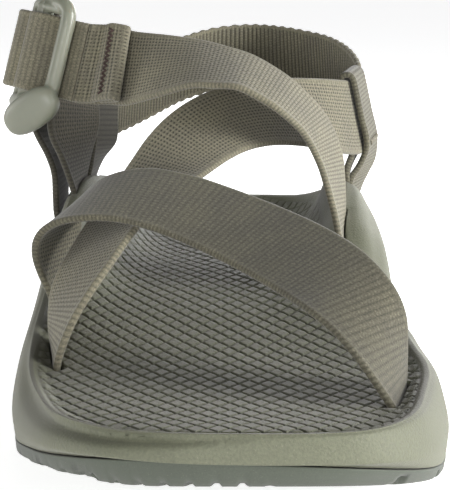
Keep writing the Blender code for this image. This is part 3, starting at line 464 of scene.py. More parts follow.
def webbing_material(name, body, dark, light):
    """Woven polyester: painted shade between the yarns, a paler woven border with a painted highlight on the
    yarn crowns, fibre streaks along the yarns.
    """
    mat, tree, b = principled(name, body, 0.82)
    b.inputs["Sheen Weight"].default_value = 0.25
    b.inputs["Sheen Roughness"].default_value = 0.45
    b.inputs["Specular IOR Level"].default_value = 0.25
    hollow_shade = node(tree, "ShaderNodeAttribute", attribute_name="hollow_shade")
    sel = node(tree, "ShaderNodeAttribute", attribute_name="selvedge_and_crown_highlight")
    coord = node(tree, "ShaderNodeTexCoord")
    fibre = node(tree, "ShaderNodeTexNoise", Scale=2600.0, Detail=2.0)
    blotch = node(tree, "ShaderNodeTexNoise", Scale=95.0, Detail=4.0)
    yarn = node(tree, "ShaderNodeTexVoronoi", Scale=1150.0)
    for t in (fibre, blotch, yarn):
        tree.links.new(coord.outputs["Object"], t.inputs["Vector"])
    tone = ramp(tree, fibre.outputs["Fac"], [(0.30, shade(body, 0.72)), (0.70, shade(body, 1.30))])
    glint = ramp(tree, yarn.outputs["Distance"], [(0.10, grey(0.22)), (0.45, grey(0.0))])
    flecked = mix_colour(tree, tone.outputs["Color"], light, glint.outputs["Color"])
    patch = ramp(tree, blotch.outputs["Fac"], [(0.35, (0.86, 0.86, 0.88)), (0.65, (1.0, 1.0, 0.97))])
    base = mix_colour(tree, flecked, patch.outputs["Color"], 1.0, "MULTIPLY")
    # paler along the woven border, with a painted highlight on the yarn crowns
    pale = ramp(tree, sel.outputs["Fac"], [(0.2, grey(0.0)), (1.0, grey(0.55))])
    base = mix_colour(tree, base, light, pale.outputs["Color"])
    # painted shade in the hollows between yarns, ribs and stitches
    deep = ramp(tree, hollow_shade.outputs["Fac"], [(0.02, grey(0.0)), (0.60, grey(0.82))])
    base = mix_colour(tree, base, dark, deep.outputs["Color"])
    tree.links.new(base, b.inputs["Base Color"])
    grain_bump(tree, b, fibre, 0.35, 0.00012)
    return mat


WEB = webbing_material(
    "webbing_polyester", srgb(116, 112, 95), srgb(26, 24, 19), srgb(178, 171, 148))
# the same webbing painted darker as shade, for the front strap and the medial riser
WEB_PAINTED_SHADE = webbing_material(
    "webbing_polyester_painted_shade", srgb(94, 91, 77), srgb(18, 17, 13), srgb(162, 155, 132))
# the same webbing painted darker still as deep shade, for the lateral riser and its rear fold
WEB_PAINTED_DEEP_SHADE = webbing_material(
    "webbing_polyester_painted_deep_shade", srgb(70, 67, 58), srgb(16, 15, 12), srgb(112, 107, 92))


def foam_material(name, body, grain, strength):
    """Moulded foam: fine pebbled skin with pale speckles and a faint bloom, and painted shade where the
    groove attribute marks hollows.
    """
    mat, tree, b = principled(name, body, 0.62)
    b.inputs["Specular IOR Level"].default_value = 0.35
    b.inputs["Sheen Weight"].default_value = 0.12
    b.inputs["Sheen Roughness"].default_value = 0.5
    b.inputs["Sheen Tint"].default_value = (*srgb(214, 204, 216), 1)
    coord = node(tree, "ShaderNodeTexCoord")
    fine = node(tree, "ShaderNodeTexNoise", Scale=grain, Detail=3.0, Roughness=0.6)
    cell = node(tree, "ShaderNodeTexVoronoi", Scale=grain * 0.55)
    wide = node(tree, "ShaderNodeTexNoise", Scale=24.0, Detail=3.0)
    for t in (fine, cell, wide):
        tree.links.new(coord.outputs["Object"], t.inputs["Vector"])
    tone = ramp(tree, fine.outputs["Fac"],
                [(0.32, shade(body, 0.86)), (0.50, body), (0.72, shade(body, 1.16))])
    fleck = ramp(tree, cell.outputs["Distance"], [(0.0, grey(0.35)), (0.16, grey(0.0))])
    spec = mix_colour(tree, tone.outputs["Color"], srgb(150, 148, 136), fleck.outputs["Color"])
    wash = ramp(tree, wide.outputs["Fac"], [(0.3, (0.93, 0.94, 0.93)), (0.7, (1.0, 1.0, 1.0))])
    base = mix_colour(tree, spec, wash.outputs["Color"], 1.0, "MULTIPLY")
    # painted shade: darker where the mesh marks footbed grooves, the cove under the front rim, strap slots
    # and tread grooves
    groove = node(tree, "ShaderNodeAttribute", attribute_name="groove")
    cut = ramp(tree, groove.outputs["Fac"], [(0.15, grey(0.0)), (0.95, grey(0.72))])
    base = mix_colour(tree, base, shade(body, 0.42), cut.outputs["Color"])
    tree.links.new(base, b.inputs["Base Color"])
    rough = ramp(tree, fine.outputs["Fac"], [(0.3, grey(0.52)), (0.7, grey(0.72))])
    tree.links.new(rough.outputs["Color"], b.inputs["Roughness"])
    grain_bump(tree, b, fine, strength, 0.00025)
    return mat


FOAM = foam_material("midsole_foam", srgb(100, 102, 84), 1500.0, 0.8)
RUBBER = foam_material("outsole_rubber", srgb(74, 79, 69), 2600.0, 0.15)
RUBBER.node_tree.nodes["Principled BSDF"].inputs["Sheen Weight"].default_value = 0.08


def nylon_material(name, body):
    """Moulded nylon: satin, faintly translucent, with a slightly uneven gloss."""
    mat, tree, b = principled(name, body, 0.38)
    b.inputs["Subsurface Weight"].default_value = 0.04
    b.inputs["Subsurface Scale"].default_value = 0.002
    coord = node(tree, "ShaderNodeTexCoord")
    fine = node(tree, "ShaderNodeTexNoise", Scale=1900.0, Detail=3.0)
    wide = node(tree, "ShaderNodeTexNoise", Scale=130.0, Detail=3.0)
    for t in (fine, wide):
        tree.links.new(coord.outputs["Object"], t.inputs["Vector"])
    tone = ramp(tree, wide.outputs["Fac"], [(0.3, shade(body, 0.93)), (0.7, shade(body, 1.05))])
    tree.links.new(tone.outputs["Color"], b.inputs["Base Color"])
    rough = ramp(tree, wide.outputs["Fac"], [(0.3, grey(0.33)), (0.7, grey(0.45))])
    tree.links.new(rough.outputs["Color"], b.inputs["Roughness"])
    grain_bump(tree, b, fine, 0.12, 0.0001)
    return mat


NYLON = nylon_material("buckle_nylon", srgb(116, 118, 104))


def thread_material(name, body):
    """Twisted sewing thread."""
    mat, tree, b = principled(name, body, 0.7)
    coord = node(tree, "ShaderNodeTexCoord")
    fine = node(tree, "ShaderNodeTexNoise", Scale=3800.0, Detail=2.0)
    tree.links.new(coord.outputs["Object"], fine.inputs["Vector"])
    tone = ramp(tree, fine.outputs["Fac"], [(0.35, shade(body, 0.6)), (0.7, shade(body, 1.5))])
    tree.links.new(tone.outputs["Color"], b.inputs["Base Color"])
    grain_bump(tree, b, fine, 0.4, 0.0001)
    return mat


THREAD = thread_material("stitch_thread", srgb(54, 38, 32))
THREAD_OLIVE = thread_material("stitch_thread_olive", srgb(104, 100, 86))


def place(ob, body, slot, *nodes):
    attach(ob, body)
    if nodes:
        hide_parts(*nodes)
    return ob


# ---------------------------------------------------------------- sole
def spring(y):
    return SPRING_H * (np.maximum(0.0, SPRING_Y - y) / SPRING_LEN) ** 1.6


def smoothstep(a, b, x):
    t = np.clip((x - a) / (b - a), 0, 1)
    return t * t * (3 - 2 * t)


def lerp(a, b, t):
    return a + (b - a) * t


def under(x, y):
    """Height of the underside; the outer front corner is rounded up a little."""
    return spring(y) + 1.8 * smoothstep(-60, -110, y) * smoothstep(-15, -48, x)


def seam(x, y):
    """Height of the joint between outsole and midsole; it tips down to the inner side at the toe."""
    return spring(y) + OUTSOLE_T + smoothstep(-60, -110, y) * (0.4 - 0.04 * x)


bed_curve = catmull_dense([list(p) for p in BED], 12)


def bed(y):
    return np.interp(y, bed_curve[:, 0], bed_curve[:, 1])


def grid_cap(ring, cols, height):
    """Vertices and faces that close a loop straight across: rows join point k to point n - k."""
    n = len(ring)
    half = n // 2
    k = np.arange(1, half)
    right, left = ring[k], ring[n - k]
    t = np.arange(1, cols) / cols
    x = lerp(right[:, None, 0], left[:, None, 0], t[None])
    y = lerp(right[:, None, 1], left[:, None, 1], t[None])
    z = height(x, y, 2 * t[None] - 1 + 0 * x, right[:, None, 2], left[:, None, 2])
    verts = np.stack([x, y, z], -1).reshape(-1, 3)
    index = np.empty((half - 1, cols + 1), int)
    index[:, 0] = k
    index[:, cols] = n - k
    index[:, 1:cols] = n + np.arange(verts.shape[0]).reshape(half - 1, cols - 1)
    quads = np.stack([index[:-1, :-1], index[:-1, 1:], index[1:, 1:], index[1:, :-1]], -1).reshape(-1, 4)
    tris = []
    for tip, row in ((0, index[0]), (half, index[-1])):
        tris += [(tip, int(row[c]), int(row[c + 1])) for c in range(cols)]
    return verts, quads, tris


def sole_mesh(name, rings, mat, top, bottom, cols, attr_fn):
    """Closed body: stacked rings, with a cap over the last one and one under the first."""
    n = len(rings[0])
    side = np.concatenate(rings)
    r = np.arange(len(rings) - 1)[:, None]
    k = np.arange(n)[None]
    a = r * n + k
    b = r * n + (k + 1) % n
    faces = np.stack([a, b, b + n, a + n], -1).reshape(-1, 4).tolist()
    verts = [side]
    total = len(side)
    for ring_no, fn in ((0, bottom), (len(rings) - 1, top)):
        v, q, t = grid_cap(rings[ring_no], cols, fn)
        remap = np.concatenate([ring_no * n + np.arange(n), total + np.arange(len(v))])
        faces += remap[q].tolist()
        faces += [tuple(int(remap[c]) for c in tri) for tri in t]
        verts.append(v)
        total += len(v)
    verts = np.concatenate(verts)
    verts, attr = attr_fn(verts)
    # attr is painted shade for the hollows, kept in the groove attribute
    ob = new_mesh(name, verts, faces, mat, {"groove": attr})
    bm = bmesh.new()
    bm.from_mesh(ob.data)
    bmesh.ops.recalc_face_normals(bm, faces=bm.faces)
    bm.to_mesh(ob.data)
    bm.free()
    return ob


def ring(loop, x_in, y_in, x_to, y_to, base, rise):
    x, y = lerp(loop[:, 0], loop[:, 2], x_to) * x_in, lerp(loop[:, 1], loop[:, 3], y_to) * y_in
    return np.stack([x, y, base(x, y) + rise], 1)


def midsole_rings(loop):
    x1, y1, x2, y2, z2, x3, y3, z3 = loop.T
    arch_run = smoothstep(-50, -5, y3) * smoothstep(100, 62, y3) * (x3 > 0)
    x3 = x3 * (1 - (0.13 + 0.08 * smoothstep(42, 10, y3)) * arch_run)   # full, rounded inner flange
    lead = smoothstep(-40, -100, y2) * smoothstep(14, -34, x2)      # outer front corner
    y85 = lerp(y1, y2, 0.85)
    # the outer front corner has a shoulder, then a cove running in under the rim lip
    key = [
        ring(loop, 1, 1, 0.34, 0.40, seam, 0.25), ring(loop, 1, 1, 0.42, 0.55, seam, 0.7),
        np.stack([lerp(x1, x2, 0.78), y85, lerp(seam(x1, y85), z2, 0.45)], 1),
        np.stack([x2, y2, z2], 1),
        np.stack([lerp(x2, x3, 0.35), lerp(y2, y3, 0.25), lerp(z2, z3, lerp(0.62, 0.34, lead))], 1),
        np.stack([lerp(x2, x3, 0.62 + 0.50 * lead), lerp(y2, y3, 0.5 + 0.9 * lead) + 0.9 * lead,
                  lerp(z2, z3, lerp(0.88, 0.60, lead))], 1),
        np.stack([lerp(x2, x3, 0.90 + 0.26 * lead), lerp(y2, y3, 0.9 + 0.5 * lead) + 1.0 * lead,
                  lerp(z2, z3, lerp(0.97, 0.89, lead))], 1),
        np.stack([x3, y3, z3], 1),
        np.stack([x3 * 0.978, y3 * 0.992, z3 - 0.1], 1),
        np.stack([x3 * 0.955, y3 * 0.982, z3 - 0.55], 1),
        np.stack([x3 * 0.92, y3 * 0.965, z3 - 1.6 - 0.05 * np.maximum(0, z3 - 27)], 1),
    ]
    return key


def round_rings(key, per):
    """Catmull-Rom through the rings, so the wall is a smooth profile."""
    pts = np.stack(key)
    flat = catmull_dense(pts.reshape(len(key), -1), per)
    return [row.reshape(-1, 3) for row in flat]


loop = catmull_dense(LOOP, 52, closed=True)
rings = round_rings(midsole_rings(loop), 5)

# where each strap passes through the sole: row tables, which rows, used to sink a slot into the surface
PASSES = [(FRONT_STRAP, 2, 5), (FRONT_STRAP, 18, 22), (LOWER_STRAP, 1, 4), (UPPER_STRAP, 11, 14),
          (MEDIAL_INNER, 2, 4), (MEDIAL_OUTER, 0, 3), (LATERAL_INNER, 2, 4), (LATERAL_OUTER, 2, 6),
          (REAR_FOLD_LOW, 0, 3)]
DIAMOND_ACROSS, DIAMOND_ALONG = 5.02, 7.5                # footbed diamonds, across and along the foot
DIAMOND_DEPTH, BORDER_DEPTH = 0.44, 0.35
SLOT_DEPTH, SLOT_LIP = 1.9, 0.25


def finish_midsole(v):
    """Footbed texture, smooth flanges and the strap slots, with painted shade in the grooves, the front cove
    and the slots.
    """
    x, y, z = v.T.copy()
    hw_right = np.interp(y, loop_y_right, loop_x_right)
    hw_left = np.interp(y, loop_y_left, loop_x_left)
    inside = np.minimum(hw_right - x, x - hw_left)
    on_bed = z > bed(y) - 0.6
    arch = smoothstep(-22, 12, y)
    limit_r = lerp(hw_right - 2.2, np.minimum(31.0, hw_right - 4), arch)
    limit_l = lerp(hw_left + 2.2, np.maximum(-41.0, hw_left + 5), arch)
    edge = np.minimum(limit_r - x, x - limit_l)
    edge = np.minimum(edge, y + 141.4 - 0.0035 * x * x)
    edge = np.minimum(edge, (134.5 - y))
    mask = smoothstep(0.0, 0.5, edge) * on_bed * (inside > 0.6)
    a = x / DIAMOND_ACROSS + y / DIAMOND_ALONG
    b = x / DIAMOND_ACROSS - y / DIAMOND_ALONG
    scale = 1 / math.hypot(1 / DIAMOND_ACROSS, 1 / DIAMOND_ALONG)
    da = np.abs(a - np.round(a)) * scale
    db = np.abs(b - np.round(b)) * scale
    d = np.minimum(da, db)
    groove = (1 - smoothstep(0.16, 0.50, d)) * mask
    z = z - DIAMOND_DEPTH * groove
    border = np.exp(-(edge / 0.6) ** 2) * on_bed * (inside > 0.6)
    z = z - BORDER_DEPTH * border
    # painted shade in the diamond grooves and along the border groove
    dark = np.maximum(0.6 * groove, 0.5 * border)
    # painted shade in the cove under the outer front rim lip
    lead = smoothstep(-35, -95, y) * smoothstep(22, -26, x)
    rim = np.interp(y, [-150, -100, -50], [26.8, 25.3, 26.5])
    drop = 1.1 + 0.7 * smoothstep(-18, -38, x)
    below = (z - (rim - drop)) / (1.5 + 0.3 * drop)
    cove = 0.85 * lead * np.exp(-below ** 2) * (inside < 1.0)
    dark = np.maximum(dark, cove)
    for table_rows, first, last in PASSES:
        c, across, normal, width, s, tan = strip_frames(table_rows[first:last + 1], 1.2, 0.0)
        p = np.stack([x, y, z], 1)
        box = (p > c.min(0) - 16).all(1) & (p < c.max(0) + 16).all(1)
        idx = np.nonzero(box)[0]
        if not len(idx):
            continue
        q = p[idx]
        near = np.argmin(((q[:, None, :] - c[None]) ** 2).sum(-1), axis=1)
        rel = q - c[near]
        along = (rel * tan[near]).sum(1)
        w = np.abs((rel * across[near]).sum(1)) - width[near] / 2
        t = np.abs((rel * normal[near]).sum(1)) - 1.0
        out = np.maximum(w, t)
        hit = (1 - smoothstep(0.10, 0.55, out)) * (np.abs(along) < 2.0)
        rounded = (1 - smoothstep(0.6, 3.2, out)) * (np.abs(along) < 2.0)
        down = tan[near] * np.sign(tan[near][:, 2:3] + 1e-9) * -1.0
        push = down * (SLOT_DEPTH * hit + SLOT_LIP * rounded)[:, None]
        x[idx] += push[:, 0]
        y[idx] += push[:, 1]
        z[idx] += push[:, 2]
        # painted shade in the slot where the strap goes in
        dark[idx] = np.maximum(dark[idx] * (1 - hit), hit)
    return np.stack([x, y, z], 1), dark


half_n = len(loop) // 2
order_r = np.argsort(loop[:half_n + 1, 6])
order_l = np.argsort(loop[half_n:, 6])
loop_y_right, loop_x_right = loop[:half_n + 1, 6][order_r], loop[:half_n + 1, 5][order_r]
loop_y_left, loop_x_left = loop[half_n:, 6][order_l], loop[half_n:, 5][order_l]

midsole = sole_mesh(
    "midsole_moulded", rings, FOAM,
    lambda x, y, s, r, l: bed(y) + (np.where(s < 0, r, l) - bed(y)) * np.abs(s) ** 5,
    lambda x, y, s, r, l: seam(x, y) + 0.25, 320, finish_midsole)
place(midsole, "sandal", "midsole_foam", "midsole")

# outsole with lugs
loop_o = catmull_dense(LOOP, 30, closed=True)


def groove_depth(x, y):
    """How deep the tread is cut at a point of the underside, 0 to 1: zigzags straight across."""
    g = np.zeros_like(x)
    for y0 in GROOVES:
        zig = y0 + 2.0 * (2 * np.abs((x / 17.0) % 1 - 0.5) - 0.5)
        g = np.maximum(g, 1 - smoothstep(1.1, 1.6, np.abs(y - zig)))
    return g


def finish_outsole(v):
    x, y, z = v.T.copy()
    rise = z - under(x, y)
    low = np.clip(1 - rise / 2.4, 0, 1)
    g = groove_depth(x, y)
    lift = 2.2 * g * (rise < 2.0)
    z_new = np.maximum(z, under(x, y) + lift)
    # small nicks along the front edge of the outer half, and stepped lug ends at the corner
    around = np.hypot(x * 0.9, y + 60)
    turn = np.arctan2(x, -(y + 60)) * 85
    nick = (1 - smoothstep(0.5, 1.5, np.abs((turn / 6.4) % 1 - 0.5) * 6.4)) * smoothstep(-82, -96, y)
    nick = nick * smoothstep(12, 2, x) * (around > 62)
    step = 0.9 * smoothstep(-30.2, -30.9, x) + 0.5 * smoothstep(-41.5, -42.2, x)
    step = step + 0.6 * smoothstep(-48.6, -49.4, x)
    step = step * smoothstep(-70, -80, y)
    z_new = z_new + (1.0 * nick + step) * low
    # the second value is painted shade in the tread grooves
    return np.stack([x, y, z_new], 1), np.clip(g * (rise < 2.4) * 0.8, 0, 1)


outsole_key = [ring(loop_o, 0.97, 0.985, 0, 0, under, 0.0), ring(loop_o, 0.992, 0.996, 0, 0, under, 0.25),
               ring(loop_o, 1, 1, 0, 0, under, 0.9), ring(loop_o, 1, 1, 0.2, 0.3, under, 2.2),
               ring(loop_o, 1, 1, 0.42, 0.55, seam, -0.5), ring(loop_o, 1, 1, 0.44, 0.56, seam, -0.15),
               ring(loop_o, 1, 1, 0.40, 0.48, seam, 0.0)]
outsole = sole_mesh("outsole_treaded", outsole_key, RUBBER, lambda x, y, s, r, l: seam(x, y),
                    lambda x, y, s, r, l: under(x, y), 110, finish_outsole)
place(outsole, "sandal", "outsole_rubber", "outsole")

# ---------------------------------------------------------------- straps
STEP = 0.30                       # spacing of the rows of a strap's mesh
LEG, TOP = 3.2, WEB_W / 2 + 1.6


def station(rows, row, count=2):
    """Centre, tangent, across and outward normal at a row of a table."""
    r = [list(v[:6]) for v in rows]
    p = catmull_dense(r, count)
    i = int(row * count)
    a, b = p[max(i - 1, 0)], p[min(i + 1, len(p) - 1)]
    tan = unit(b[:3] - a[:3])
    across = unit(p[i, 3:6])
    return p[i, :3], tan, across, unit(np.cross(tan, across))


def beside(rows, row, profile, width=WEB_W):
    """Rows of a strip that wraps round another strip at one of its rows."""
    c, tan, across, normal = station(rows, row)
    return [(*(c + normal * out + across * up), *-tan, width) for out, up in profile]


def turned(rows):
    """The same rows with the webbing turned over."""
    return [(x, y, z, -a, -b, -c, w) for x, y, z, a, b, c, w in rows]


# profiles of a riser passing over a strap: how far out, and how far up across the webbing
over = [(-LEG, 9.5), (-2.6, TOP), (-1.2, TOP + 1.2), (1.2, TOP + 1.2), (2.6, TOP), (LEG, 9.5)]
snug = [(-2.3, -10.0), (-2.15, 0.0), (-2.15, 10.0), (-1.7, TOP - 0.3), (-0.6, TOP + 0.5), (0.8, TOP + 0.5),
        (2.1, TOP - 0.4), (2.5, 10.0), (2.6, 0.0), (2.8, -9.0)]
MEDIAL_LEG = [(47.2, 57.0, 62.0, 0.30, 0.95, 0.0, 21), (43.8, 52.2, 57.0, 0.34, 0.94, 0.0, 21),
              (42.6, 51.2, 51.0, 0.20, 0.98, 0.0, 21)] + MEDIAL_OUTER[3:]
MEDIAL_RISER = MEDIAL_INNER + turned(beside(LOWER_STRAP, 21, snug, 21)) + MEDIAL_LEG
LATERAL_RISER = ([(*r, WEB_W) for r in LATERAL_INNER]
                 + beside(HEEL_STRAP, 13, [(-5.2, 1.5), (-4.0, 7.5)] + over[1:5]
                          + [(LEG + 0.3, 9.5), (LEG + 0.9, 2.0), (LEG + 1.8, -7.0)])
                 + [(*r, WEB_W + 1.4) for r in LATERAL_OUTER])
FOLD_LOW = [(-45.6, 67.6, 60.6, 0.14, 0.99, 0.0, 19), (-47.6, 63.5, 54.0, 0.06, 1.0, 0.0, 18),
            (-48.0, 62.0, 47.0, 0.03, 1.0, 0.0, 18), (-47.4, 62.0, 38.0, 0.0, 1.0, 0.0, 17)]
REAR_FOLD = beside(HEEL_STRAP, 11, [(-LEG, 6.0), (-LEG, -4.0), (-LEG, -13.0)], 18.0) + FOLD_LOW

BAR_GAP = FRONT_R + 1.3                                  # from the bar's centre to the webbing behind it
TURN_IN = [
    at(FRONT_BAR, 2.4, -BAR_GAP - 3.1), at(FRONT_BAR, -1.6, -BAR_GAP - 2.8), at(MID_BAR, 3.4, -4.0),
    at(MID_BAR, -0.6, -2.8), at(MID_BAR, -3.0, -2.1), at(MID_BAR, -3.8, 0.0), at(MID_BAR, -3.0, 2.1),
    at(MID_BAR, -0.6, 2.8), at(MID_BAR, 2.6, 2.3), at(FRONT_BAR, -4.4, -1.3), at(FRONT_BAR, -1.6, -3.6),
    at(FRONT_BAR, 2.4, -3.8), at(FRONT_BAR, 5.75, -3.92),
]
upper_rows = [tuple(r) for r in UPPER_STRAP[::-1]] + [(*p, *BAR_DIR) for p in TURN_IN]

pieces = [
    ("front_strap_webbing", FRONT_STRAP, dict(sigma=1.4), "front_strap"),
    ("lower_instep_strap_webbing", LOWER_STRAP[:22], dict(sigma=1.4), "lower_instep_strap"),
    ("heel_strap_webbing", LOWER_STRAP[21:22] + HEEL_STRAP, dict(sigma=1.2, in_ribs=0.34), "heel_strap"),
    ("medial_riser_webbing", MEDIAL_RISER, dict(sigma=0.9), "medial_riser"),
    ("lateral_riser_webbing", LATERAL_RISER, dict(sigma=1.0, in_ribs=0.2), "lateral_riser"),
    ("lateral_riser_rear_fold_webbing", REAR_FOLD, dict(sigma=1.0, in_ribs=0.2), "lateral_riser_rear_fold"),
]
SIDES = {"lateral_riser_webbing": -1, "lateral_riser_rear_fold_webbing": -1}
for name, rows, extra, cad in pieces:
    # painted shade: darker copies of the same webbing for the lateral riser pieces, the medial riser and the
    # front strap
    if "lateral" in name:
        cloth = WEB_PAINTED_DEEP_SHADE
    elif "riser" in name or "front" in name:
        cloth = WEB_PAINTED_SHADE
    else:
        cloth = WEB
    ob = ribbon(name, rows, cloth, STEP, side=SIDES.get(name, 1), **extra)
    place(ob, "sandal", "webbing", cad)

upper = ribbon("upper_instep_strap_and_turn_webbing", upper_rows, WEB, STEP, 0.7, side=-1)
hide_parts("upper_instep_strap", "buckle_strap_turn")
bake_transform(upper)

ANCHOR = [(*p, *BAR_DIR) for p in (
    at(REAR_BAR, -2.6, -8.8), at(REAR_BAR, -4.6, -4.8), at(REAR_BAR, -5.4, -1.0), at(REAR_BAR, -4.4, 2.2),
    at(REAR_BAR, -0.6, 3.4), at(REAR_BAR, 2.5, 1.9), at(REAR_BAR, 3.2, -1.0), at(REAR_BAR, 3.0, -4.6),
    at(REAR_BAR, 1.6, -8.8))]
anchor = ribbon("buckle_anchor_loop_webbing", ANCHOR, WEB, STEP * 0.8, 0.5, side=-1, out_ribs=0.1)
place(anchor, "sandal", "webbing", "buckle_anchor_loop")

# free tail: lies on the upper strap, its end folded under and sewn
uc, uacross, unormal, _, us, utan = strip_frames(UPPER_STRAP, 0.5, 0.7)
tail_rows = [(*at(FRONT_BAR, 6.05, -BAR_GAP - 0.25), *BAR_DIR)]
for s_at, off in ((4.0, 2.9), (6.2, 3.7), (8.5, 4.7), (11.0, 5.0), (13.9, 5.1)):
    i = int(np.argmin(np.abs(us - s_at)))
    tail_rows.append((*(uc[i] + unormal[i] * off), *uacross[i]))
i = int(np.argmin(np.abs(us - 13.9)))
for ahead, off in ((1.0, 4.65), (1.3, 4.05), (0.9, 3.4)):
    tail_rows.append((*(uc[i] + unormal[i] * off + utan[i] * ahead), *uacross[i]))
for s_at, off in ((12.6, 2.95), (10.0, 2.85), (7.6, 2.5)):
    k = int(np.argmin(np.abs(us - s_at)))
    tail_rows.append((*(uc[k] + unormal[k] * off), *uacross[k]))
tail = ribbon("strap_tail_webbing", tail_rows, WEB, STEP * 0.8, 0.35, out_ribs=0.10, weave=0.07)
place(tail, "tail", "webbing", "strap_tail")


# ---------------------------------------------------------------- stitching
THREAD_R, ON_CLOTH = 0.33, 1.05                          # thread radius, height above the webbing's middle


def thread(name, centre, row, swing, normal, length, width, count, body, cad, mat=THREAD):
    """Zigzag row of stitches: short raised floats that dive into the cloth at each turn.

    The row runs along row for length, swings width across it, and has count turning points.
    """
    curve = bpy.data.curves.new(name, "CURVE")
    curve.dimensions = "3D"
    curve.bevel_depth = THREAD_R * MM
    curve.bevel_resolution = 3
    curve.use_fill_caps = True
    line = curve.splines.new("POLY")
    per = 6
    total = (count - 1) * per + 1
    line.points.add(total - 1)
    for k in range(total):
        f = k / per
        t = f - math.floor(f)
        a = -1 if int(f) % 2 == 0 else 1
        side = a * (1 - 2 * t)
        lift = 0.30 * math.sin(math.pi * t) - 0.12
        p = centre + row * (length * (f / (count - 1) - 0.5)) + swing * (width / 2 * side) + normal * lift
        line.points[k].co = (*(p * MM), 1)
    ob = bpy.data.objects.new(name, curve)
    scene.collection.objects.link(ob)
    bpy.context.view_layer.update()
    mesh = bpy.data.meshes.new_from_object(ob.evaluated_get(bpy.context.evaluated_depsgraph_get()))
    bpy.data.objects.remove(ob, do_unlink=True)
    mesh.materials.clear()
    mesh.materials.append(mat)
    mesh.polygons.foreach_set("use_smooth", np.ones(len(mesh.polygons), bool))
    ob = bpy.data.objects.new(name, mesh)
    scene.collection.objects.link(ob)
    return place(ob, body, "stitch_thread", cad)


tc, tacross, tnormal, _, ts, ttan = strip_frames(tail_rows, 0.3, 0.35)
i = int(np.argmin(np.abs(ts - 10.8)))
thread("tail_stitch_row", tc[i] + tnormal[i] * ON_CLOTH, tacross[i], ttan[i], tnormal[i], 21.0, 1.8, 27,
       "tail", "tail_stitching")
ac, aacross, anormal, _, as_, atan = strip_frames(ANCHOR, 0.3, 0.5)
i = int(np.argmin(np.abs(as_ - 3.4)))
thread("anchor_stitch_row", ac[i] + anormal[i] * ON_CLOTH, aacross[i], atan[i], anormal[i], 21.0, 1.5, 31,
       "sandal", "anchor_stitching")
for label, rows, row, width, sign in (("medial_riser", MEDIAL_RISER, 14, 15.0, 1),
                                      ("lateral_riser", LATERAL_RISER, 18, 21.0, -1)):
    c, tan, across, normal = station(rows, row)
    thread(label + "_stitch_row", c + normal * sign * ON_CLOTH, across, tan, normal * sign, width, 1.6, 25,
           "sandal", label + "_stitching", mat=THREAD_OLIVE)


# ---------------------------------------------------------------- buckle
def tube_mesh(bm, points, radii, sides=20):
    """Swept round tube with closed ends added to bm, in millimetres."""
    p = np.array([tuple(v) for v in points])
    tan = unit(np.gradient(p, axis=0))
    ref = np.array(tuple(OUT_DIR))
    rounds = []
    for q, t, r in zip(p, tan, radii):
        aside = ref if abs(np.dot(t, ref)) < 0.9 else np.array(tuple(BAR_DIR))
        u = unit(np.cross(t, aside))
        v = np.cross(t, u)
        rounds.append([bm.verts.new(tuple(q + u * r * math.cos(a) + v * r * math.sin(a)))
                      for a in np.linspace(0, 2 * math.pi, sides, endpoint=False)])
    for a, b in zip(rounds[:-1], rounds[1:]):
        for k in range(sides):
            bm.faces.new((a[k], a[(k + 1) % sides], b[(k + 1) % sides], b[k]))
    bm.faces.new(rounds[0][::-1])
    bm.faces.new(rounds[-1])


def pebble(bm, centre, axes, half, power):
    """Rounded lump: a sphere stretched to half sizes along three axes, each with its own fullness."""
    seg = bmesh.ops.create_uvsphere(bm, u_segments=48, v_segments=32, radius=1.0)["verts"]
    turn = Matrix(axes).transposed()
    for v in seg:
        q = Vector([math.copysign(abs(c) ** e, c) * h for c, h, e in zip(v.co, half, power)])
        v.co = turn @ q + centre


half_open = OPENING / 2
top, low = half_open + 2.3, -half_open - 2.6
bm = bmesh.new()
arch_path = catmull_dense([tuple(v) for v in (
    at(FRONT_BAR, -0.6, 0.0, -half_open - 3.5), at(FRONT_BAR, 0, 0, -8), at(FRONT_BAR, 0, 0, 4),
    at(FRONT_BAR, 0, 0, 11.5), at(FRONT_BAR, -1.0, -0.1, top - 0.6), at(FRONT_BAR, -4.0, -0.5, top + 0.9),
    at(MID_BAR, 3.0, 0.0, top + 0.9), at(MID_BAR, -0.5, -0.8, top + 0.3), at(REAR_BAR, 3.4, 2.6, top + 0.1),
    at(REAR_BAR, 0.4, 0.2, top - 0.6))], 8)
f = np.linspace(0, 1, len(arch_path))
tube_mesh(bm, arch_path, 2.45 + 0.35 * smoothstep(0.12, 0.0, f) - 0.35 * smoothstep(0.5, 0.75, f))
tube_mesh(bm, [at(FRONT_BAR, -k, -0.1 - 0.04 * k, top - 0.7) for k in np.linspace(0.5, 10.5, 8)], [1.7] * 8)
tube_mesh(bm, [at(REAR_BAR, 0, 0, z) for z in np.linspace(low - 1, top, 12)], [REAR_R] * 12)
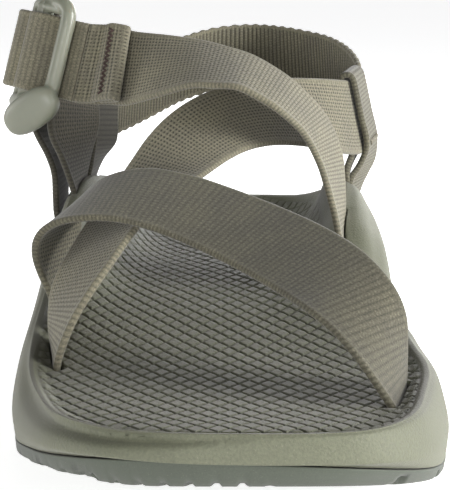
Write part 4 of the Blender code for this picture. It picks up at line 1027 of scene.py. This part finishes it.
low_path = catmull_dense([tuple(v) for v in (
    at(FRONT_BAR, -0.5, 0.2, low - 0.6), at(FRONT_BAR, -6, -0.6, low - 0.2), at(MID_BAR, 0, 0, low),
    at(REAR_BAR, 3, 2.6, low - 0.6), at(REAR_BAR, 0, 0, low - 1))], 6)
tube_mesh(bm, low_path, [2.6] * len(low_path))
corners = []                                             # flat middle bar
for z in (-half_open - 2.5, half_open + 2.5):
    for a, b in ((-1, -1), (1, -1), (1, 1), (-1, 1)):
        corners.append(bm.verts.new(tuple(at(MID_BAR, a * 2.5, b * 1.5, z))))
for quad in ((3, 2, 1, 0), (4, 5, 6, 7), (0, 1, 5, 4), (1, 2, 6, 5), (2, 3, 7, 6), (3, 0, 4, 7)):
    bm.faces.new([corners[k] for k in quad])
LOBE_AXIS = Vector((-0.76, 0.38, -0.52)).normalized()
lobe_side = LOBE_AXIS.cross(Vector((0.1, -0.97, 0.2))).normalized()
pebble(bm, Vector((-61.8, 20.4, 82.0)), (LOBE_AXIS, lobe_side, LOBE_AXIS.cross(lobe_side).normalized()),
       (10.3, 5.9, 3.7), (0.82, 0.82, 0.55))
bmesh.ops.recalc_face_normals(bm, faces=bm.faces)
bmesh.ops.scale(bm, vec=(MM, MM, MM), verts=bm.verts)
me = bpy.data.meshes.new("buckle_frame_moulded")
bm.to_mesh(me)
bm.free()
buckle = bpy.data.objects.new("buckle_frame_moulded", me)
scene.collection.objects.link(buckle)
me.materials.append(NYLON)
remesh = buckle.modifiers.new("skin", "REMESH")
remesh.mode = "VOXEL"
remesh.voxel_size = 0.00034
relax = buckle.modifiers.new("relax", "SMOOTH")
relax.factor = 0.5
relax.iterations = 5
bpy.context.view_layer.update()
done = bpy.data.meshes.new_from_object(buckle.evaluated_get(bpy.context.evaluated_depsgraph_get()))
buckle.modifiers.clear()
buckle.data = done
done.materials.clear()
done.materials.append(NYLON)
done.polygons.foreach_set("use_smooth", np.ones(len(done.polygons), bool))
place(buckle, "buckle", "buckle_nylon", "buckle_frame")

# runs hidden inside the sole keep their CAD solids
for n in ("forefoot_webbing_run", "midfoot_webbing_run", "heel_webbing_run"):
    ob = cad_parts[n]
    ob.data.materials.clear()
    ob.data.materials.append(WEB)
